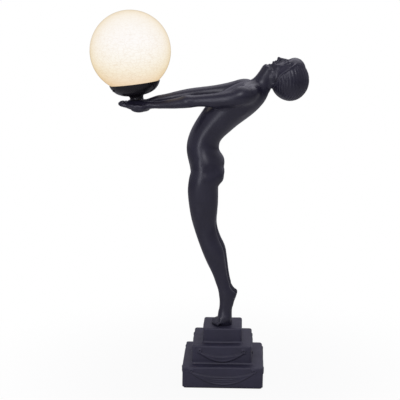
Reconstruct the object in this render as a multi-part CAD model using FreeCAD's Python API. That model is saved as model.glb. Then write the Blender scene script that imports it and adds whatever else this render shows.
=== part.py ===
"""Figural table lamp: a slender standing figure on a stepped base arches back and holds a glass globe on her palms.

Frame: origin at the middle of the base's underside, +Z up. The figure faces -X and her head lies towards +X.
The figure is symmetric about the plane Y = 0, and her left side is the -Y side. Units are millimetres.
"""

import FreeCAD
import Part
import math
import os
from FreeCAD import Placement, Rotation, Vector

# ---------------------------------------------------------------- driving dimensions
# stepped base
lower_width = 153.0
middle_width = 113.0
upper_width = 74.0
lower_height = 41.5  # from the table to the top of the lower tier, felt included
middle_height = 35.5
upper_height = 28.5
base_wall = 8.0
base_roof = 9.0
corner_round = 4.0
edge_round = 2.5
felt_thickness = 2.0
felt_inset = 3.0
plate_thickness = 3.0
plate_lip = 5.5  # wall left outside the rebate that takes the cover plate
plate_gap = 0.3
post_radius = 6.5
cover_screw_radius = 2.0
cover_screw_length = 14.0
ballast_width = 98.0
ballast_height = 18.0
ballast_hole_radius = 14.0
ballast_screw_radius = 2.5
# hanging crescent in relief on the two lower tiers
relief_depth = 1.4
relief_span_share = 0.78  # of the tier's width
relief_drop_share = 0.52  # of the tier's height
relief_thickness_share = 0.3
curl_radius = 2.6
# cable inlet at the back
inlet_height = 20.0
inlet_bore_radius = 3.6
grommet_wall = 2.2
grommet_flange = 1.5
grommet_lip = 2.4
# fixings between the base and the feet
stud_radius = 3.0
tube_radius = 5.0
tube_bore_radius = 3.3
stud_embed = 44.0
stud_tail = 12.0
washer_thickness = 1.5
stud_nut_height = 5.0
# terminal block and lead
block_width = 22.0
block_depth = 16.0
block_height = 12.0
block_y = 36.0
lead_radius = 2.0
lead_channel_radius = 2.6
# figure: how far the palms stand above the base, and what that height was when the sections were drawn
palm_rise = 431.5
drawn_palm_rise = 431.5
dowel_radius = 3.0
dowel_length = 24.0
neck_dowel_radius = 4.0
neck_dowel_length = 28.0
# lamp head
head_tilt = 7.0  # degrees that the globe leans away from the figure
stem_height = 7.4
stem_radius = 13.2
stem_waist = 11.8
cup_rim_height = 30.5
cup_rim_gap = 0.54  # between the glass and the inside of the rim
cup_wall = 1.6
ledge_height = 18.0
globe_radius = 75.0
globe_glass = 3.0
globe_neck_radius = 37.0
globe_neck_height = 5.06
gasket_thickness = 2.0
setscrew_radius = 1.5
setscrew_height = 23.0
setscrew_boss_radius = 2.6
setscrew_gap = 0.3
nipple_radius = 5.0
nipple_bore_radius = 3.4
nipple_embed = 5.0
nipple_height = 22.0
locknut_height = 3.0
locknut_across = 14.0
holder_start = 13.5
holder_cap_height = 13.5
holder_body_height = 33.0
holder_radius = 13.5
holder_wall = 2.2
contact_height = 7.8  # of the bulb's seat above the lampholder's join
bulb_radius = 22.5
bulb_length = 78.0
bulb_glass = 0.8
bulb_cap_radius = 7.0
bulb_cap_height = 22.0
shell_gap = 0.15
# places that follow from the sizes above
middle_floor = lower_height + middle_height
base_height = middle_floor + upper_height
cavity_floor = felt_thickness + plate_thickness
figure_scale = palm_rise / drawn_palm_rise
neck_foot = ledge_height + gasket_thickness
globe_centre_height = neck_foot + globe_neck_height + math.sqrt(globe_radius ** 2 - globe_neck_radius ** 2)
rim_drop = globe_centre_height - cup_rim_height
cup_radius = math.sqrt(globe_radius ** 2 - rim_drop ** 2) + cup_rim_gap + cup_wall
holder_join = holder_start + holder_cap_height
holder_top = holder_join + holder_body_height
bulb_tip = holder_join + contact_height
bulb_shoulder = bulb_tip + bulb_cap_height
bulb_centre = bulb_tip + bulb_length - bulb_radius


# ---------------------------------------------------------------- small makers
def box(width, depth, low, high, x=0.0, y=0.0):
    """An upright block centred on x, y between two heights."""
    return Part.makeBox(width, depth, high - low, Vector(x - width / 2, y - depth / 2, low))


def rod(radius, low, high, x=0.0, y=0.0):
    """An upright cylinder between two heights."""
    return Part.makeCylinder(radius, high - low, Vector(x, y, low))


def rod_along(radius, start, end):
    """A cylinder from one point to another."""
    return Part.makeCylinder(radius, (end - start).Length, start, end - start)


def ring(outer, inner, low, high, x=0.0, y=0.0):
    """An upright washer or tube."""
    return rod(outer, low, high, x, y).cut(rod(inner, low - 1, high + 1, x, y))


def hex_block(across_flats, low, high, x=0.0, y=0.0):
    """An upright hexagonal prism."""
    reach = across_flats / math.sqrt(3)
    corners = [Vector(x + reach * math.cos(math.radians(60 * i)), y + reach * math.sin(math.radians(60 * i)), low)
               for i in range(7)]
    return Part.Face(Part.makePolygon(corners)).extrude(Vector(0, 0, high - low))


def hex_nut(across_flats, bore, low, high, x=0.0, y=0.0):
    """A hexagonal nut with chamfered corners."""
    body = hex_block(across_flats, low, high, x, y)
    corner = across_flats / math.sqrt(3)
    cone = Part.makeCone(corner + (high - low), corner * 0.94, high - low + 0.01, Vector(x, y, low))
    return body.common(cone).cut(rod(bore, low - 1, high + 1, x, y))


def lathe(points):
    """A solid turned about Z from a closed outline of (radius, height) points."""
    outline = Part.makePolygon([Vector(r, 0, h) for r, h in points + points[:1]])
    return Part.Face(outline).revolve(Vector(0, 0, 0), Vector(0, 0, 1), 360)


def lathe_edges(edges):
    """A solid turned about Z from a closed outline of edges in the plane Y = 0."""
    outline = Part.Wire(Part.sortEdges(edges)[0])
    return Part.Face(outline).revolve(Vector(0, 0, 0), Vector(0, 0, 1), 360)


def line(start, end):
    return Part.LineSegment(Vector(start[0], 0, start[1]), Vector(end[0], 0, end[1])).toShape()


def arc(start, middle, end):
    points = [Vector(r, 0, h) for r, h in (start, middle, end)]
    return Part.Arc(*points).toShape()


def on_lamp_axis(shape):
    """Puts a shape that was made upright about Z onto the leaning axis of the lamp head."""
    moved = shape.copy()
    moved.Placement = Placement(palm_point, Rotation(Vector(0, 1, 0), -head_tilt)).multiply(moved.Placement)
    return moved


def mirrored(shape):
    return shape.mirror(Vector(0, 0, 0), Vector(0, 1, 0))


def bent_path(points, share=0.45, largest=60.0):
    """Straight runs joined by tangent arcs through a list of points."""
    points = [Vector(*p) for p in points]
    edges = []
    here = points[0]
    for before, corner, after in zip(points, points[1:], points[2:]):
        into = (corner - before).normalize()
        out = (after - corner).normalize()
        turn = into.getAngle(out)
        shorter = min((corner - before).Length, (after - corner).Length)
        reach = min(share * shorter, largest * math.tan(turn / 2))
        start = corner - into * reach
        end = corner + out * reach
        inward = (out - into).normalize()
        radius = reach / math.tan(turn / 2)
        middle = corner + inward * (math.hypot(radius, reach) - radius)
        edges.append(Part.LineSegment(here, start).toShape())
        edges.append(Part.Arc(start, middle, end).toShape())
        here = end
    edges.append(Part.LineSegment(here, points[-1]).toShape())
    return Part.Wire(edges)


def sweep(path, radius):
    """A round bar along a path."""
    first = path.Edges[0]
    start = first.valueAt(first.FirstParameter)
    heading = first.tangentAt(first.FirstParameter)
    circle = Part.Wire(Part.makeCircle(radius, start, heading))
    return path.makePipeShell([circle], True, False)


# ---------------------------------------------------------------- the figure's sections
# Each row is a cut across the body: x of its middle, its height above the base, lean of the axis in degrees
# from upright towards +X, depth in front, depth behind, half width, and how far the lobe stands off Y = 0.
body_sections = [
    (3.5, 0.0, 0, 13.5, 13.5, 10.5, 10.2),  # ball of the foot, on the base
    (2.6, 14.5, 0, 13.2, 13.2, 10.4, 10.1),
    (4.1, 28.5, 0, 12.5, 12.5, 10.0, 9.7),
    (6.3, 44.5, 0, 13.7, 13.7, 10.0, 9.7),
    (8.2, 56.5, 0, 15.8, 15.8, 10.5, 10.2),  # heel
    (4.8, 69.5, -3, 14.4, 14.0, 10.0, 9.7),
    (-0.6, 82.5, -8, 13.6, 13.4, 9.9, 9.6),  # ankle
    (-6.5, 103.5, -15, 16.3, 16.3, 12.0, 11.6),
    (-12.3, 124.5, -17, 19.4, 19.4, 15.0, 14.5),
    (-20.0, 147.5, -20, 20.5, 20.8, 16.8, 16.2),  # calf
    (-29.0, 171.5, -18, 19.8, 19.8, 16.4, 15.8),
    (-35.0, 193.5, -12, 21.0, 21.2, 17.4, 16.7),  # knee
    (-37.5, 215.5, -6, 24.6, 24.6, 20.0, 18.8),
    (-39.0, 244.5, -2, 27.0, 27.0, 24.0, 22.0),
    (-39.5, 268.5, 0, 27.7, 27.7, 27.5, 23.5),
    (-34.0, 288.5, 0, 31.5, 32.0, 32.0, 20.0),  # seat
    (-32.0, 306.5, 0, 33.0, 32.5, 40.0, 13.0),
    (-36.0, 325.5, 4, 33.5, 33.0, 44.0, 5.0),
    (-40.0, 344.5, 14, 31.0, 30.0, 40.0, 0.0),  # waist
    (-33.5, 365.5, 27, 32.0, 30.0, 40.5, 0.0),
    (-20.0, 385.5, 40, 34.0, 30.0, 44.0, 0.0),  # ribs
    (1.0, 405.5, 48, 38.0, 31.0, 48.0, 0.0),  # bust
    (26.0, 425.5, 53, 34.0, 32.5, 51.0, 0.0),
    (46.0, 441.0, 52, 28.0, 30.0, 46.0, 0.0),  # shoulder line
    (59.5, 451.5, 45, 22.0, 22.0, 28.0, 0.0),
    (68.0, 460.5, 38, 18.6, 18.2, 18.5, 0.0),  # neck
    (75.5, 471.0, 34, 17.8, 17.6, 16.5, 0.0),  # joint with the head
]
head_sections = [
    (75.5, 471.0, 34, 17.8, 17.6, 16.5, 0.0),
    (82.0, 480.5, 34, 17.6, 17.6, 16.2, 0.0),
    (91.0, 488.0, 40, 17.6, 17.6, 17.0, 0.0),
]
# Cuts across one arm: x, distance off Y = 0, height above the base, depth above, depth below, half width.
arm_sections = [
    (52.0, 38.0, 443.5, 14.0, 15.0, 12.0),  # buried in the shoulder
    (40.0, 44.0, 443.5, 20.0, 18.0, 15.5),
    (22.0, 46.0, 441.5, 18.0, 17.0, 15.0),
    (2.0, 44.5, 438.0, 15.5, 14.5, 13.0),
    (-20.0, 41.5, 436.5, 14.5, 13.5, 12.0),
    (-46.0, 37.0, 435.0, 12.5, 12.0, 11.0),  # elbow
    (-70.0, 32.5, 432.0, 12.5, 12.5, 11.5),
    (-95.0, 27.5, 428.5, 11.0, 11.2, 10.5),
    (-118.0, 22.0, 425.5, 9.2, 8.9, 9.0),
    (-130.0, 18.5, 424.3, 8.2, 7.6, 9.5),  # wrist
    (-145.0, 13.5, 422.5, 8.0, 9.6, 13.0),
    (-158.0, 11.0, 422.0, 9.0, 12.5, 14.5),  # heel of the hand
    (-172.0, 10.5, 423.0, 8.0, 9.5, 14.0),
    (-186.0, 10.0, 423.5, 5.0, 6.0, 12.0),
    (-197.0, 9.5, 423.0, 2.0, 2.0, 7.0),  # finger tips
]
# Cuts across the toes of one foot: x, depth above the base, half width.
toe_sections = [(0.0, 13.0, 10.0), (-9.0, 11.0, 10.2), (-15.0, 8.0, 9.6), (-20.5, 4.0, 7.5)]
# Rounded masses laid over the sections: x, distance off Y = 0, height, half lengths along, up and across, lean.
body_masses = [
    (-12.0, 20.0, 414.0, 19.0, 21.0, 19.0, 45.0),  # breast
    (-17.0, 23.0, 284.0, 16.5, 24.0, 21.0, 0.0),  # buttock
]
skull = (112.0, 0.0, 474.0, 35.0, 33.5, 29.0, 9.0)
jaw = (97.0, 0.0, 483.5, 25.0, 24.0, 22.0, 9.0)
chin = (83.0, 0.0, 494.5, 9.5, 10.0, 10.0, 9.0)
nose = (98.5, 0.0, 505.5, 7.0, 6.0, 4.2, 9.0)
hair = (119.0, 0.0, 469.5, 36.6, 40.0, 33.0, 9.0)
hair_edge = ((122.0, 510.0), (84.0, 452.0))
foot_centre = (4.0, 10.3)
shoulder_joint_x = 18.0
shoulder_dowel_at = (18.0, 46.0, 433.5)
palm_x = -163.5
# The lead's route inside the figure, from the top of the tube in the right foot to the palm.
lead_points = [
    (-3.5, 11.5, 86.5),
    (-13.0, 15.0, 124.5),
    (-29.0, 16.5, 168.5),
    (-37.0, 19.0, 208.5),
    (-38.5, 22.0, 248.5),
    (-36.0, 20.0, 298.5),
    (-38.0, 17.0, 344.5),
    (-22.0, 18.0, 382.5),
    (8.0, 25.0, 407.5),
    (38.0, 33.0, 417.5),
    (54.0, 35.0, 434.5),
    (44.0, 41.0, 449.5),
    (8.0, 44.5, 443.5),
    (-22.0, 41.0, 437.5),
    (-72.0, 32.0, 432.0),
    (-128.0, 19.5, 424.3),
]
lead_turn_depth = 13.0  # below the palm, where the lead turns up into the nipple


def scaled(row, heights=()):
    """Sizes a row of lengths with the figure; the places named in heights also stand on the base."""
    return [v * figure_scale + (base_height if i in heights else 0.0) for i, v in enumerate(row)]


foot_x, foot_y = scaled(foot_centre)
joint_x = shoulder_joint_x * figure_scale
palm_point = Vector(palm_x * figure_scale, 0, base_height + palm_rise)
lamp_axis = Vector(-math.sin(math.radians(head_tilt)), 0, math.cos(math.radians(head_tilt)))


def body_outline(row, points=11):
    """The +Y side of one cut across the body, from the front of the middle plane to the back of it."""
    x, z, front, behind, half_width, offset = scaled(row[:2] + row[3:], (1,))
    across = Vector(math.cos(math.radians(row[2])), 0, -math.sin(math.radians(row[2])))
    first = -math.asin(offset / half_width)
    outline = []
    for i in range(points):
        angle = first + (math.pi - 2 * first) * i / (points - 1)
        depth = front if math.cos(angle) > 0 else behind
        side = 0.0 if i in (0, points - 1) else offset + half_width * math.sin(angle)
        outline.append(Vector(x, side, z) - across * (depth * math.cos(angle)))
    curve = Part.BSplineCurve()
    curve.interpolate(outline)
    return Part.Wire([curve.toShape()])


def skin(rows):
    """Lofts a half skin through the rows, joins it to its mirror image and closes both ends."""
    half = Part.makeLoft([body_outline(row) for row in rows], False, False).Faces[0]
    faces = [half, mirrored(half)]
    for edge in half.Edges:
        samples = edge.discretize(9)
        if max(p.y for p in samples) > 1.0 and min(p.y for p in samples) < 0.01 and edge.Length < 900:
            heights = [p.z for p in samples]
            ends_level = abs(samples[0].y) < 0.01 and abs(samples[-1].y) < 0.01
            if ends_level and max(heights) - min(heights) < 60 * figure_scale:
                faces.append(Part.Face(Part.Wire(Part.sortEdges([edge, mirrored(edge)])[0])))
    shell = Part.Shell(faces)
    shell.sewShape()
    solid = Part.Solid(shell)
    if solid.Volume < 0:
        solid.reverse()
    return solid


def arm_outline(row, points=12):
    """One cut across the +Y arm, square to X."""
    x, y, z, above, below, half_width = scaled(row, (2,))
    outline = []
    for i in range(points):
        angle = 2 * math.pi * i / points
        height = above if math.sin(angle) > 0 else below
        outline.append(Vector(x, y + half_width * math.cos(angle), z + height * math.sin(angle)))
    curve = Part.BSplineCurve()
    curve.interpolate(outline, PeriodicFlag=True)
    return Part.Wire([curve.toShape()])


def mass(row, side=1.0):
    """An ellipsoid laid over the figure; the row gives its middle, half lengths and lean."""
    x, y, z, along, up, across = scaled(row[:6], (2,))
    matrix = FreeCAD.Matrix()
    matrix.scale(Vector(along, across, up))
    shape = Part.makeSphere(1.0).transformGeometry(matrix)
    shape.Placement = Placement(Vector(x, side * y, z), Rotation(Vector(0, 1, 0), -row[6]))
    return shape


def toes():
    """The toes of the +Y foot, lying on the base in front of the ball."""
    wires = []
    for row in toe_sections:
        x, height, half_width = scaled(row)
        outline = []
        for i in range(9):
            angle = math.pi * i / 8
            outline.append(Vector(x, foot_y + half_width * math.cos(angle), base_height + height * math.sin(angle)))
        curve = Part.BSplineCurve()
        curve.interpolate(outline)
        flat = Part.LineSegment(outline[-1], outline[0]).toShape()
        wires.append(Part.Wire([curve.toShape(), flat]))
    return Part.makeLoft(wires, True, False)


def side_of_x(x, side):
    """A large block on one side of the plane at x: +1 keeps what is right of it, -1 what is left."""
    size = 1200.0
    return Part.makeBox(size, size, size, Vector(x if side > 0 else x - size, -size / 2, 0))


def side_of_y(side):
    size = 1200.0
    return Part.makeBox(size, size, size, Vector(-size / 2, 0 if side > 0 else -size, 0))


def lamp_point(radius, height):
    """A point in the middle plane, given from the palm along and across the lamp head's leaning axis."""
    tilt = math.radians(head_tilt)
    return palm_point + Vector(radius * math.cos(tilt), 0, radius * math.sin(tilt)) + lamp_axis * height


# ---------------------------------------------------------------- base
def tier(width, low, high, rounded=True):
    """One square step of the base with softened corners and top edges."""
    block = box(width, width, low, high)
    upright = [e for e in block.Edges if abs(e.tangentAt(e.FirstParameter).z) > 0.9]
    block = block.makeFillet(corner_round, upright)
    rim = [e for e in block.Edges if e.BoundBox.ZMin > high - 0.01]
    return block.makeFillet(edge_round, rim)


def crescent(width, low, height):
    """A hanging crescent with a curl at each horn, standing off the -Y face of a tier."""
    reach = width * relief_span_share / 2
    top = low + height * 0.74
    bottom = top - height * relief_drop_share
    inner = bottom + height * relief_thickness_share
    back = -width / 2 + 1.0
    outline = Part.Wire([
        Part.Arc(Vector(-reach, back, top), Vector(0, back, bottom), Vector(reach, back, top)).toShape(),
        Part.Arc(Vector(reach, back, top), Vector(0, back, inner), Vector(-reach, back, top)).toShape(),
    ])
    depth = Vector(0, -1.0 - relief_depth, 0)
    shape = Part.Face(outline).extrude(depth)
    for side in (-1, 1):
        curl = Part.makeCylinder(curl_radius, depth.Length, Vector(side * reach, back, top), depth)
        shape = shape.fuse(curl)
    return shape


def base_casting():
    """Hollow casting in three square steps, open underneath, with posts for the cover plate."""
    shape = tier(lower_width, felt_thickness, lower_height)
    shape = shape.fuse(tier(middle_width, lower_height - 1.0, middle_floor))
    shape = shape.fuse(tier(upper_width, middle_floor - 1.0, base_height))
    for width, low, height, turns in ((lower_width, felt_thickness, lower_height - felt_thickness, (0, 90, 270)),
                                      (middle_width, lower_height, middle_height, (0, 90, 180, 270))):
        for turn in turns:
            relief = crescent(width, low, height)
            relief.rotate(Vector(0, 0, 0), Vector(0, 0, 1), turn)
            shape = shape.fuse(relief)
    rebate = lower_width - 2 * plate_lip
    shape = shape.cut(box(rebate, rebate, felt_thickness - 1, cavity_floor))
    lower_room = lower_width - 2 * base_wall
    hollow = box(lower_room, lower_room, cavity_floor - 0.5, lower_height - base_roof)
    for x, y in post_places():
        hollow = hollow.cut(rod(post_radius, cavity_floor, lower_height, x, y))
    shape = shape.cut(hollow)
    middle_room = middle_width - 2 * base_wall
    shape = shape.cut(box(middle_room, middle_room, lower_height - base_roof - 0.5, middle_floor - base_roof))
    upper_room = upper_width - 2 * base_wall
    shape = shape.cut(box(upper_room, upper_room, middle_floor - base_roof - 0.5, base_height - base_roof))
    for x, y in post_places():
        shape = shape.cut(rod(cover_screw_radius, felt_thickness, cover_screw_top, x, y))
    roof_low, roof_high = base_height - base_roof - 1, base_height + 1
    shape = shape.cut(rod(tube_radius, roof_low, roof_high, foot_x, foot_y))
    shape = shape.cut(rod(stud_radius, roof_low, roof_high, foot_x, -foot_y))
    inlet = rod_along(inlet_bore_radius + grommet_wall, Vector(0, lower_room / 2 - 1, inlet_height),
                      Vector(0, lower_width / 2 + 1, inlet_height))
    return shape.cut(inlet).removeSplitter()


def post_places():
    """Where the cover plate's screw posts stand, one in each corner of the lower tier."""
    reach = lower_width / 2 - base_wall - post_radius + 1.5
    return [(x, y) for x in (-reach, reach) for y in (-reach, reach)]


cover_screw_top = felt_thickness + cover_screw_length


def cover_plate():
    """Flat square plate that closes the base, countersunk for its screws, with a wire hole in the middle."""
    width = lower_width - 2 * plate_lip - 2 * plate_gap
    shape = box(width, width, felt_thickness, cavity_floor)
    for x, y in post_places():
        shape = shape.cut(rod(cover_screw_radius, felt_thickness - 1, cavity_floor + 1, x, y))
        shape = shape.cut(countersunk_head(x, y))
    for x, y in ballast_screw_places():
        shape = shape.cut(rod(ballast_screw_radius, felt_thickness - 1, cavity_floor + 1, x, y))
        shape = shape.cut(ballast_screw_head(x, y))
    return shape


def countersunk_head(x, y):
    wide = cover_screw_radius + 2.0
    return Part.makeCone(wide, cover_screw_radius, wide - cover_screw_radius, Vector(x, y, felt_thickness))


def cover_screws():
    """Countersunk screws that hold the cover plate up against the posts."""
    screws = []
    for x, y in post_places():
        screw = rod(cover_screw_radius, felt_thickness, cover_screw_top, x, y).fuse(countersunk_head(x, y))
        slot = box(1.0, 6.0, felt_thickness - 1, felt_thickness + 0.8, x, y)
        screws.append(screw.cut(slot))
    return screws


def ballast_screw_places():
    reach = ballast_width * 0.36
    return [(-reach, -reach), (reach, reach)]


def ballast_screw_head(x, y):
    wide = ballast_screw_radius + 2.2
    return Part.makeCone(wide, ballast_screw_radius, wide - ballast_screw_radius, Vector(x, y, felt_thickness))


def ballast_screws():
    screws = []
    for x, y in ballast_screw_places():
        screw = rod(ballast_screw_radius, felt_thickness, cavity_floor + ballast_height * 0.7, x, y)
        screw = screw.fuse(ballast_screw_head(x, y))
        screws.append(screw.cut(box(1.0, 7.0, felt_thickness - 1, felt_thickness + 0.9, x, y)))
    return screws


def ballast():
    """Heavy square block bolted to the cover plate, with a hole for the wires."""
    top = cavity_floor + ballast_height
    shape = box(ballast_width, ballast_width, cavity_floor, top)
    upright = [e for e in shape.Edges if abs(e.tangentAt(e.FirstParameter).z) > 0.9]
    shape = shape.makeFillet(3.0, upright)
    shape = shape.cut(rod(ballast_hole_radius, cavity_floor - 1, top + 1))
    for x, y in ballast_screw_places():
        shape = shape.cut(rod(ballast_screw_radius, cavity_floor - 1, cavity_floor + ballast_height * 0.7, x, y))
    for x in (-1, 1):
        shape = shape.cut(rod(block_screw_radius, top - 8.0, top + 1, x * block_width * 0.36, block_y))
    return shape


def felt_pad():
    width = lower_width - 2 * felt_inset
    shape = box(width, width, 0, felt_thickness)
    upright = [e for e in shape.Edges if abs(e.tangentAt(e.FirstParameter).z) > 0.9]
    return shape.makeFillet(corner_round, upright)


def cable_grommet():
    """Rubber bush in the back wall, grooved to grip the wall, with the cable's bore through it."""
    inner = lower_width / 2 - base_wall
    outer = lower_width / 2
    neck = inlet_bore_radius + grommet_wall
    outline = [(inlet_bore_radius, inner - 2.0), (neck + grommet_lip * 0.5, inner - 2.0),
               (neck + grommet_lip * 0.5, inner), (neck, inner), (neck, outer),
               (neck + grommet_lip, outer), (neck + grommet_lip * 0.6, outer + grommet_flange),
               (inlet_bore_radius, outer + grommet_flange)]
    shape = lathe(outline)
    shape.rotate(Vector(0, 0, 0), Vector(1, 0, 0), -90)
    shape.translate(Vector(0, 0, inlet_height))
    return shape


block_screw_radius = 1.5


def terminal_block():
    """Insulating block on the ballast where the supply cable meets the lamp's own lead."""
    low = cavity_floor + ballast_height
    shape = box(block_width, block_depth, low, low + block_height, 0, block_y)
    for x in (-1, 1):
        place = x * block_width * 0.36
        shape = shape.cut(rod(block_screw_radius, low - 1, low + block_height, place, block_y))
        shape = shape.cut(rod(2.8, low + block_height - 2.5, low + block_height + 1, place, block_y))
    for x in (-1, 1):
        way = Vector(x * block_width * 0.14, block_y, low + block_height * 0.5)
        outward = way + Vector(0, block_depth, 0)
        shape = shape.cut(rod_along(1.3, way, outward))
    return shape


def block_screws():
    low = cavity_floor + ballast_height
    head = low + block_height - 2.5
    screws = []
    for x in (-1, 1):
        place = x * block_width * 0.36
        screw = rod(block_screw_radius, low - 8.0, head, place, block_y).fuse(rod(2.8, head, head + 2.0, place, block_y))
        screws.append(screw.cut(box(0.8, 8.0, head + 1.2, head + 3.0, place, block_y)))
    return screws


def foot_stud():
    """Solid stud from the base up the left foot."""
    return rod(stud_radius, base_height - base_roof - stud_tail, base_height + stud_embed, foot_x, -foot_y)


def foot_tube():
    """Threaded tube from the base up the right foot; the lead runs through it."""
    return ring(tube_radius, tube_bore_radius, base_height - base_roof - stud_tail, base_height + stud_embed,
                foot_x, foot_y)


def stud_washer(radius, bore, side):
    top = base_height - base_roof
    return ring(radius, bore, top - washer_thickness, top, foot_x, side * foot_y)


def stud_nut(across_flats, bore, side):
    top = base_height - base_roof - washer_thickness
    return hex_nut(across_flats, bore, top - stud_nut_height, top, foot_x, side * foot_y)


# ---------------------------------------------------------------- lead
def lead_path():
    """From the terminal block, up the right leg, through the trunk and along the right arm into the lampholder."""
    start = Vector(foot_x, block_y - block_depth / 2, cavity_floor + ballast_height + block_height * 0.5)
    points = [start, Vector(foot_x, foot_y + 1.5, start.z + 2.0),
              Vector(foot_x, foot_y, start.z + 26.0), Vector(foot_x, foot_y, base_height + stud_embed + 12.0)]
    points += [Vector(*scaled(row, (2,))) for row in lead_points]
    points += [lamp_point(14.0, -lead_turn_depth) + Vector(0, 7.0 * figure_scale, 0),
               lamp_point(0, -lead_turn_depth), lamp_point(0, holder_start + holder_cap_height)]
    return bent_path(points)


def lead():
    return sweep(lead_path(), lead_radius)


def lead_channel():
    return sweep(lead_path(), lead_channel_radius)


# ---------------------------------------------------------------- figure
def shoulder_dowel(side):
    x, y, z = scaled(shoulder_dowel_at, (2,))
    half = Vector(dowel_length / 2, 0, 0)
    middle = Vector(x, side * y, z)
    return rod_along(dowel_radius, middle - half, middle + half)


def neck_dowel():
    x, z = scaled(body_sections[-1][:2], (1,))
    lean = math.radians(body_sections[-1][2])
    half = Vector(math.sin(lean), 0, math.cos(lean)) * (neck_dowel_length / 2)
    return rod_along(neck_dowel_radius, Vector(x, 0, z) - half, Vector(x, 0, z) + half)


def whole_arm():
    return Part.makeLoft([arm_outline(row) for row in arm_sections], True, False)


def trunk():
    """The skin of legs, trunk and neck with its rounded masses, before the shoulders and fixings."""
    shape = skin(body_sections)
    for row in body_masses:
        shape = shape.fuse([mass(row, 1.0), mass(row, -1.0)])
    return shape


def figure_body(core):
    """Legs, trunk, shoulders and the lower part of the neck in one casting."""
    shoulder = whole_arm().common(side_of_x(joint_x, 1))
    foot = toes()
    shape = core.fuse([shoulder, mirrored(shoulder), foot, mirrored(foot)])
    shape = shape.cut([foot_stud(), rod(tube_radius, base_height - 1, base_height + stud_embed, foot_x, foot_y),
                       shoulder_dowel(1), shoulder_dowel(-1), neck_dowel()])
    return shape.cut(lead_channel())


def figure_head(core):
    """The upper neck, the face and the close cap of hair."""
    neck = skin(head_sections)
    shape = mass(skull).fuse([neck, mass(jaw), mass(chin), mass(nose)])
    (x1, z1), (x2, z2) = [scaled(p, (1,)) for p in hair_edge]
    reach = Vector(x2 - x1, 0, z2 - z1).normalize() * 200.0
    start = Vector(x1, -100, z1) - reach
    right = Vector(-reach.z, 0, reach.x)
    if right.x < 0:
        right = right * -1.0
    corners = [start, start + reach * 2, start + reach * 2 + right, start + right, start]
    beyond = Part.Face(Part.makePolygon(corners)).extrude(Vector(0, 200, 0))
    cap = mass(hair).common(beyond)
    shape = shape.fuse(cap).cut(core)
    return shape.cut(neck_dowel())


def palm_seat():
    """Low round block on the palms that the lamp head's stem stands on."""
    return on_lamp_axis(rod(stem_radius, -9.0, 0.0))


def arm(side, core):
    """One arm and hand; both hands meet at Y = 0 and hold the lamp head's tube between them."""
    shape = whole_arm().common(side_of_x(joint_x, -1)).cut(core).fuse(palm_seat())
    above = on_lamp_axis(rod(stem_radius + 30.0, 0.0, 40.0))
    shape = shape.cut(above)
    if side < 0:
        shape = mirrored(shape)
    shape = shape.common(side_of_y(side))
    shape = shape.cut([shoulder_dowel(side), on_lamp_axis(rod(nipple_radius, -nipple_embed, 1.0))])
    return shape.cut(lead_channel())


# ---------------------------------------------------------------- lamp head, made upright about Z
def nipple_tube():
    return on_lamp_axis(ring(nipple_radius, nipple_bore_radius, -nipple_embed, nipple_height))


def cup_stem():
    """Short waisted foot between the palms and the cup."""
    outline = [(nipple_radius, 0), (stem_radius, 0), (stem_waist, 1.6), (stem_waist, 3.0),
               (stem_radius + 1.0, stem_height), (nipple_radius, stem_height)]
    return on_lamp_axis(lathe(outline))


cup_outer = [(0.46, 0.0), (0.69, 0.18), (0.83, 0.40), (0.94, 0.70), (1.0, 1.0)]


def cup_outer_radius(height):
    """The cup's outside radius at a height, read from its outline."""
    points = cup_outline_points()
    for (r1, h1), (r2, h2) in zip(points, points[1:]):
        if h1 <= height <= h2:
            return r1 + (r2 - r1) * (height - h1) / (h2 - h1)
    return cup_radius


def cup_outline_points():
    rise = cup_rim_height - stem_height - 1.4
    return [(cup_radius * r, stem_height + 1.4 + rise * h) for r, h in cup_outer]


def gallery_cup():
    """Spun cup that carries the globe, with an inside ledge for the gasket and bosses for the set screws."""
    outer = [(stem_radius + 1.0, stem_height)] + cup_outline_points()
    wall = [(r - cup_wall, h + 0.6 * cup_wall) for r, h in outer[1:-1]]
    ledge_out = cup_outer_radius(ledge_height) - cup_wall
    inner = [p for p in wall if p[1] < ledge_height - 1.5]
    ledge_in = globe_neck_radius - globe_glass - 1.2
    inner = [p for p in inner if p[0] < ledge_in - 1.0]
    above = [p for p in wall if p[1] > ledge_height + 0.5]
    floor_top = stem_height + cup_wall
    outline = [(nipple_radius, stem_height)] + outer
    outline += [(cup_radius - cup_wall, cup_rim_height)] + above[::-1]
    outline += [(ledge_out, ledge_height), (ledge_in, ledge_height), (ledge_in, ledge_height - 1.6)]
    outline += inner[::-1] + [(locknut_across / math.sqrt(3) + 0.5, floor_top), (nipple_radius, floor_top)]
    shape = lathe(outline)
    for angle in setscrew_angles:
        shape = shape.fuse(radial_rod(setscrew_boss_radius, setscrew_inner + 1.6, setscrew_outer, angle))
    for angle in setscrew_angles:
        shape = shape.cut(radial_rod(setscrew_radius, setscrew_inner, setscrew_outer + 4.0, angle))
    return on_lamp_axis(shape)


setscrew_angles = (90, 210, 330)
setscrew_inner = globe_neck_radius + setscrew_gap
setscrew_outer = cup_outer_radius(setscrew_height) - 0.6


def radial_rod(radius, start, end, angle):
    """A rod pointing out from the lamp head's axis at the set screws' height."""
    shape = rod_along(radius, Vector(start, 0, setscrew_height), Vector(end, 0, setscrew_height))
    shape.rotate(Vector(0, 0, 0), Vector(0, 0, 1), angle)
    return shape


def setscrew(angle):
    """Small headless screw that stops the globe's neck from lifting out."""
    shape = rod_along(setscrew_radius, Vector(setscrew_inner, 0, setscrew_height),
                      Vector(setscrew_outer, 0, setscrew_height))
    slot = Part.makeBox(1.2, 0.6, 4.0, Vector(setscrew_outer - 1.0, -0.3, setscrew_height - 2.0))
    shape = shape.cut(slot)
    shape.rotate(Vector(0, 0, 0), Vector(0, 0, 1), angle)
    return on_lamp_axis(shape)


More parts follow.
